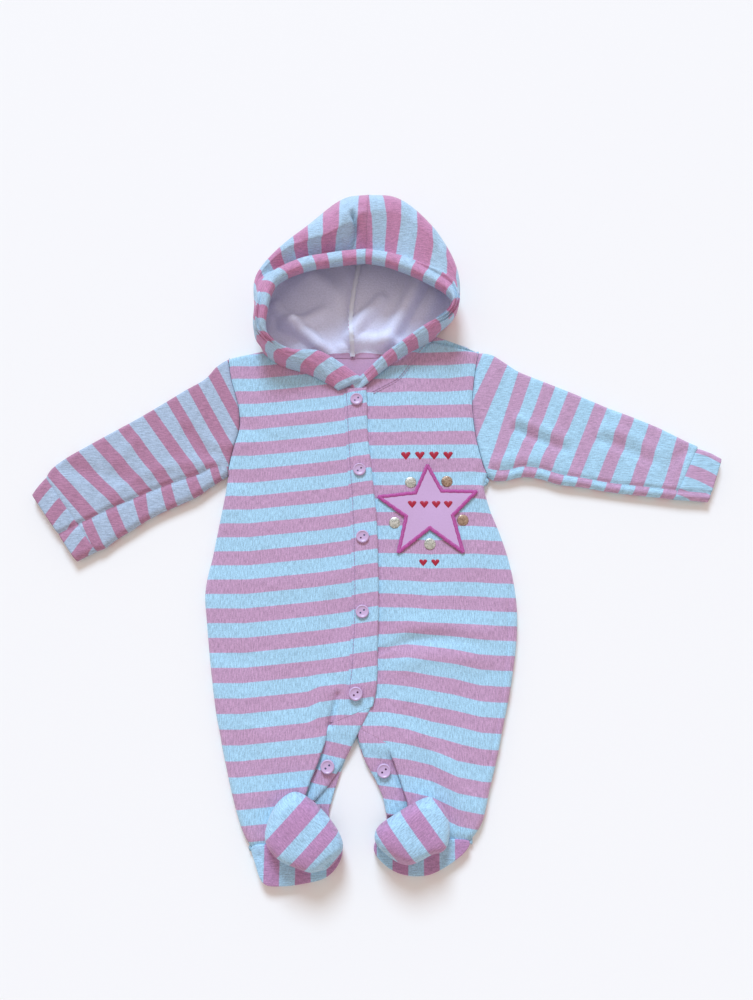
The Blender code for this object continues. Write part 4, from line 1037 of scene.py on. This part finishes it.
class Bands:
    """The placket band and the bands inside the legs."""

    step = 1.2

    def __init__(self, finishes: Finishes) -> None:
        self.finishes = finishes

    def strip(self, name: str, start: np.ndarray, end: np.ndarray, top: Height,
              thickness: float, stripe: Height, soft: float = 1.8) -> bpy.types.Object:
        """A flat strip between two edges, its far edge rounded over."""
        places = row_places([start, end], self.step)
        start, end = between(start, places), between(end, places)
        width = float(np.hypot(*(end - start).T).max())
        rim = np.array((0.0, 0.04, 0.15, 0.35, 0.65, 1.0)) * soft / width
        shares = np.concatenate((np.linspace(0, 1 - rim[-1], int(width / self.step) + 2)[:-1],
                                 1 - rim[::-1]))
        plan = start[:, None] + (end - start)[:, None] * shares[:, None]
        flat = plan.reshape(-1, 2)
        side = (1 - shares)[None, :] * np.hypot(*(end - start).T)[:, None]
        z = top(flat).reshape(plan.shape[:2]) - (1 - quarter(side, soft)) * thickness
        cloth = Cloth(name + "_cloth")
        cloth.patch(np.dstack((plan, z)), plan[..., 0], stripe(flat).reshape(plan.shape[:2]),
                    (*plan.mean(axis=(0, 1)), -900.0))
        return cloth.finish([self.finishes.jersey], thickness * 0.8, [name])

    def placket(self) -> bpy.types.Object:
        """The band along the right front's free edge."""
        start = PLACKET[:, (0, 2)]
        end = PLACKET[:, (1, 2)]

        def stripe(points: np.ndarray) -> np.ndarray:
            top = np.interp(points[:, 0], *np.array(FIRST_STRIPE_RIGHT, float).T) + 1.2
            return top - points[:, 1]

        piece = self.strip("placket_band", start, end, placket_height, BAND_THICKNESS, stripe)
        return piece

    def leg(self, name: str, table: np.ndarray, starts: Sequence[float], under: float,
            slope: float, piece_height: Height) -> bpy.types.Object:
        """An inside-leg band between the folded front and the inner edge of the leg."""
        start, end = table[:, 0:2].copy(), table[:, 2:4]
        start[1:, 0] += under

        def height(points: np.ndarray) -> np.ndarray:
            """As high as the front along the top, as the folded leg's lower layer below."""
            off = distance_to(points, np.array((start[0], end[0])))
            along_top = piece_height(points) - 0.25 * (1 - smooth(off, 0.0, 2.5))
            level = np.interp(-points[:, 1], -table[:, 1], table[:, 4])
            fold = np.abs(points[:, 0] - np.interp(-points[:, 1], -start[:, 1], start[:, 0]))
            level = level - 1.6 * (1 - smooth(fold, 1.0, 7.0))
            joined = 1 - smooth(off, 3.0, 16.0)
            return level + (along_top - level) * joined

        def stripe(points: np.ndarray) -> np.ndarray:
            borders = np.array(starts, float)
            fold = points[:, 0] - np.interp(-points[:, 1], -start[:, 1], start[:, 0])
            below = smooth(-points[:, 1], -start[0, 1], 20 - start[0, 1])
            return np.interp(-points[:, 1] - slope * below * fold, -borders,
                             np.arange(len(borders)) * STRIPE_PITCH / 2)

        piece = self.strip(name, start, end, height, WALL * 0.8, stripe, 4.0)
        return piece

    def build(self) -> None:
        """Makes the three bands."""
        self.placket()
        self.leg("leg_band_right", LEG_BAND_RIGHT,
                 (-143, -156, -168, -178, -190, -200, -212, -222, -234, -246), -1.6, 0.2,
                 front_right_height)
        self.leg("leg_band_left", LEG_BAND_LEFT,
                 (-156, -168, -180, -192, -205, -217, -227, -237, -248, -260), 1.6, 0.14,
                 front_left_height)


class Hood:
    """The open hood: two halves joined over the crown, its fleece inside."""

    def __init__(self, finishes: Finishes) -> None:
        self.finishes = finishes

    def strip(self, rim: np.ndarray, neck: np.ndarray) -> np.ndarray:
        """The guide points of a padded strip that lies on a front."""
        path = [rim + (neck - rim) * (share, share, 0) + (0, 0, rise)
                for share, rise in STRIP_HEM]
        top = path[-1][2]
        for share in STRIP_REST:
            place = rim + (neck - rim) * share
            place[2] = neck[2] + (top - neck[2]) * math.sqrt(1 - (2 * share - 1) ** 2)
            path.append(place)
        return np.array(path)

    def station(self, row: Sequence[float], seam: bool) -> np.ndarray:
        """The guide points of one station, from inside the rim to the neck seam."""
        rim, bulge, neck = (np.array(row[start:start + 3], float) for start in (0, 3, 6))
        hem, valley, break_at, break_z, tuck = row[9:14]
        if not tuck:
            return self.strip(rim, neck)
        reach = float(np.hypot(*(bulge - rim)[:2]))
        out = np.array((*(bulge - rim)[:2] / reach, 0.0))
        hem = min(hem, break_at * 0.6)
        foot = min(hem + 5.0, break_at * 0.85)
        low = rim[2] - valley
        inward = (neck - bulge)[:2]
        ground = np.array((*(bulge[:2] + inward / np.hypot(*inward) * tuck), 0.0))
        floor = np.array(HOOD_SEAM_GROUND) if seam else (ground + neck) / 2
        if tuck < 0:
            ground, floor = bulge * 0.5 + neck * 0.5, bulge * 0.2 + neck * 0.8
        far = (break_at + reach) / 2
        drops = ((1.2, rim[2] - 10.0), (0.0, rim[2] - 2.5), (hem * 0.2, rim[2] + 0.9),
                 (hem * 0.6, rim[2] + 0.8), (hem, rim[2] - 1.5 - min(valley, 3.0) * 0.2),
                 (hem + (foot - hem) * 0.45, low + valley * 0.3), (foot, low),
                 (foot + (break_at - foot) * 0.7, low + (break_z - low) * 0.75),
                 (break_at, break_z), (far, break_z - (break_z - bulge[2]) * 0.16))
        path = [rim * (1, 1, 0) + out * reach_out + np.array((0, 0, z)) for reach_out, z in drops]
        return np.array(path + [bulge, (bulge + ground) / 2 + out * 1.5, ground, floor, neck])

    def grid(self, table: Sequence) -> tuple[np.ndarray, np.ndarray, np.ndarray]:
        """Points of a half, with their station numbers and guide numbers."""
        stations = np.array([self.station(row, index == len(table) - 1)
                             for index, row in enumerate(table)])
        rows = np.linspace(0, len(table) - 1, 16 * (len(table) - 1) + 1)
        guides = through(stations, rows)
        last = stations.shape[1] - 1
        columns = np.concatenate((np.linspace(0, last - 2, 6 * (last - 2) + 1),
                                  np.linspace(last - 2, last, 61)[1:]))
        points = through(guides.transpose(1, 0, 2), columns).transpose(1, 0, 2)
        flat = points[..., :2].reshape(-1, 2)
        shape = points.shape[:2]
        points[..., 2] = np.maximum(points[..., 2], 0.0)
        end = (0.1 + 0.9 * np.sqrt(np.clip(rows / 0.12, 0.0, 1.0)))[:, None]
        points[..., 2] = np.where(rows[:, None] < 0.12, FRONT_TOP + (points[..., 2] - FRONT_TOP)
                                  * end, points[..., 2])
        inside = smooth(columns, 12.0, 12.5)[None, :] * (1 - smooth(columns, 13.7, 14.0))[None, :]
        start = sum(not row[13] for row in table)
        high = smooth(rows, start, start + 1.0)[:, None]
        points[..., 2] += high * inside * (crease_height(flat, FLEECE_FOLDS) + 1.5
                                           + ripple(flat, 1.0)).reshape(shape)
        crown = high * (smooth(columns, 5.5, 7.0) * (1 - smooth(columns, 10.0, 11.0)))[None, :]
        points[..., 2] += crown * (crease_height(flat, CROWN_CREASES)
                                   + ripple(flat, 0.5)).reshape(shape)
        return points, rows, columns

    def stripes_along(self, line: np.ndarray, passed: Sequence) -> np.ndarray:
        """Cloth's place across its stripes at each point of a line over the hood."""
        far = np.cumsum(np.linalg.norm(np.diff(line, axis=0, prepend=line[:1]), axis=1))
        return np.interp(far, *np.array(passed, float).T) * STRIPE_PITCH / 2

    def half(self, name: str, table: Sequence) -> bpy.types.Object:
        """Half of the hood, from its rim round the outside to the neck and centre seams."""
        points, rows, columns = self.grid(table)
        hem, foot, bulge = (self.stripes_along(points[:, int(np.searchsorted(columns, guide))],
                                               passed)
                            for guide, passed in zip(HOOD_STRIPE_LINES, HOOD_STRIPES[name]))
        blend = np.clip((columns - 6.0) / 4.0, 0.0, 1.0)[None, :]
        down = foot[:, None] * (1 - blend) + bulge[:, None] * blend
        reach = np.cumsum(np.linalg.norm(np.diff(points, axis=1, prepend=points[:, :1]),
                                         axis=2), axis=1)
        cloth = Cloth(name + "_cloth")
        split = int(np.searchsorted(columns, 5.5))
        facing = int(np.searchsorted(columns, 0.9))
        hem = np.repeat(hem[:, None], len(columns), 1)
        slant = np.clip((columns - 1.5) / 7.5, 0.0, 1.0)[None, :]
        start = sum(not row[13] for row in table)
        padded = 1 - smooth(rows, start - 1.0, start)[:, None]
        straight = hem * (1 - slant) + foot[:, None] * slant
        hem = hem * (1 - padded) + straight * padded
        down = down * (1 - padded) + straight * padded
        below = (*HOOD_MIDDLE[:2], -900.0)
        folded = np.where(rows[:-1] < start + 1.3, 5, 0)
        cloth.patch(points[:, facing:split + 1], reach[:, facing:split + 1],
                    hem[:, facing:split + 1], below, folded)
        tape = int(np.searchsorted(columns, 13.88))
        cloth.patch(points[:, split:tape + 1], reach[:, split:tape + 1],
                    down[:, split:tape + 1], HOOD_MIDDLE, np.where(rows[:-1] < start + 0.3, 5, 0))
        cloth.patch(points[:, tape:], reach[:, tape:], down[:, tape:], HOOD_MIDDLE, 3)
        cloth.patch(points[:, :facing + 1], reach[:, :facing + 1], hem[:, :facing + 1],
                    (*HOOD_MIDDLE[:2], 900.0), folded)
        finishes = self.finishes
        # The hood's striped cloth is the copy with painted shade
        hood, fleece = finishes.hood, finishes.fleece
        piece = cloth.finish([hood, fleece, fleece, hood, finishes.facing, hood, hood], WALL,
                             [name], inner_look=1)
        return piece

    def overlock(self) -> None:
        """The overlocked seam that stands up inside, down the middle of the hood's back."""
        points, _, columns = self.grid(HOOD_RIGHT)
        seam = points[-1, (columns > 12.1) & (columns < 13.97)]
        line = seam[np.argsort(seam[:, 1])]
        side = np.column_stack((np.gradient(line[:, 1]), -np.gradient(line[:, 0])))
        side /= np.hypot(*side.T)[:, None]
        wave = 2.1 + 0.4 * np.sin(np.arange(len(line)) * 2.1)[:, None]

        def height(places: np.ndarray) -> np.ndarray:
            return np.interp(places[:, 1], line[:, 1], line[:, 2]) + WALL + 1.8

        satin("hood_overlock", [(line[:, :2] - side * wave, line[:, :2] + side * wave)], height,
              self.finishes.overlock, 1.1)

    def build(self) -> None:
        """Makes both halves and the seam inside."""
        self.half("hood_right", HOOD_RIGHT)
        self.half("hood_left", HOOD_LEFT)
        self.overlock()


class Foot:
    """A folded foot: its vamp and its sole strip."""

    def __init__(self, side: str, vamp: Sequence, sole: Sequence, lie: float,
                 borders: Sequence[float], sole_shift: float, finishes: Finishes) -> None:
        self.side, self.vamp, self.sole = side, vamp, sole
        self.lie, self.borders, self.sole_shift = lie, borders, sole_shift
        self.finishes = finishes

    def dome(self, name: str, corners: Sequence, loops: Sequence, wall: float, creased: Height,
             across: Height, down: Height) -> bpy.types.Object:
        """A rounded piece lofted from its base up.

        Args:
            name: The CAD node.
            corners: Its outline.
            loops: Scale of the outline and z, from the base up.
            wall: Share of the cloth's wall.
            creased: Share of the creases' height at each z.
            across: The cloth's place along its stripes at plan places.
            down: Its place across them.

        Returns:
            The piece.
        """
        outline = closed_outline(corners, 8)
        outline = np.vstack((outline, outline[:1]))
        middle = outline[:-1].mean(axis=0)
        levels = np.array(tuple(loops) + ((0.0, loops[-1][1] + 0.3),), float)
        fine = through(levels, np.linspace(0, len(levels) - 1, 8 * (len(levels) - 1) + 1))
        fine[-1, 0] = 0.0
        plan = middle + (outline - middle)[None] * fine[:, 0][:, None, None]
        flat = plan.reshape(-1, 2)
        z = np.repeat(fine[:, 1][:, None], len(outline), 1)
        uneven = crease_height(flat, CREASES.get(name, ())) + ripple(flat * 1.3, 0.3)
        z = np.maximum(z + (creased(z.reshape(-1)) * uneven).reshape(z.shape), 0.0)
        cloth = Cloth(name + "_cloth")
        cloth.patch(np.dstack((plan, z)), across(flat).reshape(z.shape),
                    down(flat).reshape(z.shape), (*middle, 4.0))
        # The feet take the copy of the striped cloth with painted shade
        return cloth.finish([self.finishes.foot, self.finishes.fleece], WALL * wall, [name],
                            inner_look=1)

    def build(self) -> None:
        """Makes the vamp and the sole."""
        angle = math.radians(self.lie)
        lie = np.array((math.cos(angle), math.sin(angle)))
        across = np.array((-lie[1], lie[0]))
        upper = self.dome("foot_upper_" + self.side, self.vamp, VAMP_LOOPS, 0.8,
                          lambda z: smooth(z, 12.0, 24.0),
                          lambda points: points @ lie,
                          lambda points: np.interp(points @ across, self.borders,
                                                   count_stripes(self.borders)))
        sole = self.dome("sole_" + self.side, self.sole, SOLE_LOOPS, 0.4,
                         lambda z: np.full(len(z), 0.4),
                         lambda points: points[:, 1],
                         lambda points: self.sole_shift - points[:, 0])


class Buttons:
    """The seven buttons: rimmed, dished, with two holes."""

    profile = ((0.0, 0.0), (5.0, 0.0), (5.5, 0.25), (5.7, 0.8), (5.6, 1.4), (5.25, 1.95),
               (4.9, 2.2), (4.55, 2.15), (4.2, 1.85), (3.8, 1.6), (2.5, 1.4), (0.0, 1.3))
    hole = Vector((1.5, 1.2, 0.0))

    def __init__(self, finishes: Finishes) -> None:
        self.finishes = finishes

    def mesh(self) -> bpy.types.Mesh:
        """One button standing on z = 0 at the origin, in metres."""
        bm = bmesh.new()
        verts = [bm.verts.new((radius * MM, 0.0, z * MM)) for radius, z in self.profile]
        edges = [bm.edges.new(pair) for pair in zip(verts[:-1], verts[1:])]
        bmesh.ops.spin(bm, geom=verts + edges, cent=(0, 0, 0), axis=(0, 0, 1), angle=math.tau,
                       steps=64, use_merge=True, use_duplicate=False)
        bmesh.ops.remove_doubles(bm, verts=bm.verts[:], dist=1e-6)
        bmesh.ops.recalc_face_normals(bm, faces=bm.faces[:])
        blank = self.raw("button_blank", bm)
        drill = bmesh.new()
        for side in (-1, 1):
            bmesh.ops.create_cone(drill, cap_ends=True, segments=20, radius1=0.85 * MM,
                                  radius2=0.85 * MM, depth=8 * MM,
                                  matrix=Matrix.Translation(self.hole * side * MM))
        holes = self.raw("button_holes", drill)
        cut = blank.modifiers.new("thread holes", "BOOLEAN")
        cut.object = holes
        cut.operation = "DIFFERENCE"
        bpy.context.view_layer.update()
        graph = bpy.context.evaluated_depsgraph_get()
        made = bpy.data.meshes.new_from_object(blank.evaluated_get(graph))
        for thing in (blank, holes):
            bpy.data.objects.remove(thing, do_unlink=True)
        made.materials.clear()
        made.materials.append(self.finishes.plastic)
        made.shade_smooth()
        made.set_sharp_from_angle(angle=math.radians(45))
        return made

    def raw(self, name: str, bm: bmesh.types.BMesh) -> bpy.types.Object:
        """A helper object that is removed again."""
        mesh = bpy.data.meshes.new(name)
        bm.to_mesh(mesh)
        bm.free()
        thing = bpy.data.objects.new(name, mesh)
        bpy.context.scene.collection.objects.link(thing)
        return thing

    def build(self) -> None:
        """Every button on the band it is sewn to."""
        shape = self.mesh()
        for name, x, y, carrier in BUTTONS:
            top = TUCKED_TOP
            if carrier == "placket":
                top = front_right_height(np.array(((x, y),), float))[0] + GAP + BAND_THICKNESS
            mesh = shape.copy()
            mesh.transform(Matrix.Translation(
                (Vector((x, y, top + GAP)) - Vector(PLAN_MIDDLE)) * MM))
            piece = bpy.data.objects.new(name + "_look", mesh)
            bpy.context.scene.collection.objects.link(piece)
            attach(piece, ROOT)
            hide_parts(name)
            log.info("%s: %d faces", piece.name, len(mesh.polygons))


def satin(name: str, rails: Sequence[tuple[np.ndarray, np.ndarray]], height: Height,
          look: bpy.types.Material, pitch: float = 0.45) -> bpy.types.Object:
    """Satin stitch between pairs of rails, as one ridged and rounded skin of thread.

    Args:
        name: The piece's name.
        rails: Pairs of lines of equal length, in the plan; each pair is one run of stitches.
        height: Height of the cloth below at plan places.
        look: The thread.
        pitch: Width of a stitch, mm.

    Returns:
        The piece.
    """
    cloth = Cloth(name)
    shares = np.linspace(0.0, 1.0, 9)
    for near, far in rails:
        length = line_length((near + far) / 2)
        count = max(2, int(length / pitch))
        places = np.linspace(0, len(near) - 1, count * 4 + 1)
        near, far = between(near, places), between(far, places)
        phase = np.arange(len(places)) / 4.0
        uneven = 0.12 * np.sin(np.floor(phase) * 12.9898) * np.array((1.0, -1.0))[:, None]
        wide = (far - near) / np.maximum(np.hypot(*(far - near).T), 1e-6)[:, None]
        near, far = near - wide * uneven[0][:, None], far + wide * uneven[1][:, None]
        plan = near[:, None] + (far - near)[:, None] * shares[:, None]
        crown = np.sqrt(np.maximum(0.0, 1 - (2 * shares - 1) ** 2))[None, :]
        ridge = 0.5 + 0.5 * np.abs(np.sin(math.pi * phase))[:, None]
        z = (height(plan.reshape(-1, 2)).reshape(plan.shape[:2]) - 0.2
             + crown * (0.45 + 0.4 * ridge))
        cloth.patch(np.dstack((plan, z)), plan[..., 0], plan[..., 1],
                    (*plan.mean(axis=(0, 1)), -900.0))
    return finish_piece(name, cloth.bm, [look])


class Star:
    """The appliqued star with its satin-stitched edge, spots and small motifs."""

    def __init__(self, finishes: Finishes) -> None:
        self.finishes = finishes

    def height(self, points: np.ndarray) -> np.ndarray:
        """Outer face of the star."""
        return front_left_height(points) + STAR_LIFT

    def corners(self) -> np.ndarray:
        """Its tips and notches in turn."""
        return np.array([point for pair in zip(STAR_TIPS, STAR_NOTCHES) for point in pair], float)

    def outline(self, step: float) -> np.ndarray:
        """The closed outline in even steps."""
        corners = self.corners()
        closed = np.vstack((corners, corners[:1]))
        places = np.linspace(0, 10, int(line_length(closed) / step) // 10 * 10 + 1)
        return between(closed, places)

    def cloth(self) -> bpy.types.Object:
        """The star's own cloth."""
        outline = self.outline(1.6)
        middle = outline[:-1].mean(axis=0)
        scales = np.linspace(1.0, 0.0, 26)
        plan = middle + (outline - middle)[None] * scales[:, None, None]
        z = self.height(plan.reshape(-1, 2)).reshape(plan.shape[:2])
        cloth = Cloth("star_cloth")
        cloth.patch(np.dstack((plan, z)), plan[..., 0], plan[..., 1], (*middle, -900.0))
        return cloth.finish([self.finishes.plain], STAR_THICKNESS, ["star_applique"], Slot.STAR)

    def border(self) -> bpy.types.Object:
        """Satin stitches across the star's edge."""
        corners = self.corners()
        rails = []
        for start, end in zip(corners, np.roll(corners, -1, axis=0)):
            ahead = (end - start) / np.hypot(*(end - start))
            side = np.array((-ahead[1], ahead[0])) * 1.65
            line = np.array((start - ahead * 0.8, end + ahead * 0.8))
            rails.append((line - side, line + side))
        return satin("star_border", rails, self.height, self.finishes.satin)

    def hearts(self) -> bpy.types.Object:
        """Small red hearts in satin stitch, above, on and below the star."""
        across = np.linspace(-0.49, 0.49, 31)
        lobe = 0.18 + np.sqrt(np.maximum(0.0, 0.0625 - (np.abs(across) - 0.25) ** 2))
        point = 0.18 - 0.72 * (1 - np.abs(across) / 0.5) ** 0.85
        rails = []
        for x, y, size in HEARTS:
            rails.append((np.column_stack((x + across * size, y + point * size)),
                          np.column_stack((x + across * size, y + lobe * size))))
        return satin("red_hearts", rails, self.mixed_height, self.finishes.red, 0.4)

    def mixed_height(self, points: np.ndarray) -> np.ndarray:
        """The star's face for what lies on it, the front's for the rest."""
        on_star = (points[:, 1] > -10) & (points[:, 1] < 20)
        return front_left_height(points) + STAR_LIFT * on_star

    def build(self) -> None:
        """Makes the star and what is sewn on it."""
        piece = self.cloth()
        self.border()
        self.hearts()
        for index, (x, y, gold) in enumerate(GLITTER_SPOTS, 1):
            bm = bmesh.new()
            top = front_left_height(np.array(((x, y),), float))[0]
            bmesh.ops.create_uvsphere(bm, u_segments=32, v_segments=12, radius=1.0, matrix=(
                Matrix.Translation((x, y, top + 0.3)) @ Matrix.Diagonal((5.0, 5.0, 0.7, 1.0))))
            finish_piece(f"glitter_spot_{index}", bm,
                         [self.finishes.gold if gold else self.finishes.cream])


class Stitching:
    """Rows of topstitches along the placket's seam and the left front's neck seam."""

    length = 2.1
    pitch = 3.1
    width = 0.55

    def __init__(self, finishes: Finishes) -> None:
        self.finishes = finishes

    def row(self, name: str, line: Sequence, height: Height) -> bpy.types.Object:
        """One row of stitches along a line on the cloth."""
        fine = fine_line(np.array(line, float), 0.5)
        rails = []
        for start in np.arange(self.pitch / 2, line_length(fine) - self.length, self.pitch):
            ends = along(fine, np.array((start, start + self.length)))
            ahead = (ends[1] - ends[0]) / self.length
            side = np.array((-ahead[1], ahead[0])) * self.width / 2
            rails.append((ends - side, ends + side))
        return satin(name, rails, lambda points: height(points) + 0.1, self.finishes.sewing,
                     1.0)

    def build(self) -> None:
        """Makes the three rows."""
        self.row("neck_stitches", NECK_SEAM, front_left_height)
        lower = np.array(NECK_SEAM[:4], float) + (0.9, -1.7)
        self.row("neck_stitches_lower", lower, front_left_height)
        self.row("placket_stitches", PLACKET[:-1, (0, 2)] + (2.6, 0.0), placket_height)


class Studio:
    """The white surface, the window light and the camera."""

    def floor(self) -> None:
        """A plain pale surface."""
        bm = bmesh.new()
        bmesh.ops.create_grid(bm, x_segments=1, y_segments=1, size=4.0)
        mesh = bpy.data.meshes.new("floor")
        bm.to_mesh(mesh)
        bm.free()
        mesh.materials.append(plain_material(PAPER))
        floor = bpy.data.objects.new("floor", mesh)
        bpy.context.scene.collection.objects.link(floor)

    def lights(self) -> None:
        """Soft cool window light from beyond the hood, warm light of the room all round."""
        sun = bpy.data.lights.new("window", "SUN")
        sun.energy = 2.9
        sun.color = (0.59, 0.785, 1.0)
        sun.angle = math.radians(20)
        lamp = bpy.data.objects.new("window", sun)
        lamp.rotation_euler = Euler((math.radians(-52), 0.0, math.radians(8)))
        bpy.context.scene.collection.objects.link(lamp)
        world = bpy.data.worlds.new("room")
        world.use_nodes = True
        sky = world.node_tree.nodes["Background"]
        sky.inputs["Color"].default_value = (1.0, 0.90, 0.87, 1.0)
        sky.inputs["Strength"].default_value = 0.62
        bpy.context.scene.world = world

    def camera(self) -> None:
        """Almost overhead, tilted 14 degrees."""
        made = bpy.data.cameras.new("camera")
        made.lens = 27.07
        made.sensor_width = 36.0
        camera = bpy.data.objects.new("camera", made)
        camera.location = (-0.002, -0.151, 0.647)
        camera.rotation_euler = (math.radians(14), 0.0, 0.0)
        bpy.context.scene.collection.objects.link(camera)
        bpy.context.scene.camera = camera

    def build(self) -> None:
        """Sets the stage."""
        self.floor()
        self.lights()
        self.camera()
        bpy.context.scene.view_settings.view_transform = "Standard"


def main() -> None:
    """Builds the looks of every piece, then the stage."""
    finishes = Finishes()
    Body(finishes).build()
    for side in ("right", "left"):
        Arm(side, finishes).build()
    Bands(finishes).build()
    Hood(finishes).build()
    Foot("right", VAMP_RIGHT, SOLE_RIGHT, 226.4, VAMP_BORDERS_RIGHT, -2.4, finishes).build()
    Foot("left", VAMP_LEFT, SOLE_LEFT, -53.1, VAMP_BORDERS_LEFT, 0.0, finishes).build()
    Buttons(finishes).build()
    Star(finishes).build()
    Stitching(finishes).build()
    Studio().build()


if __name__ == "__main__":
    main()
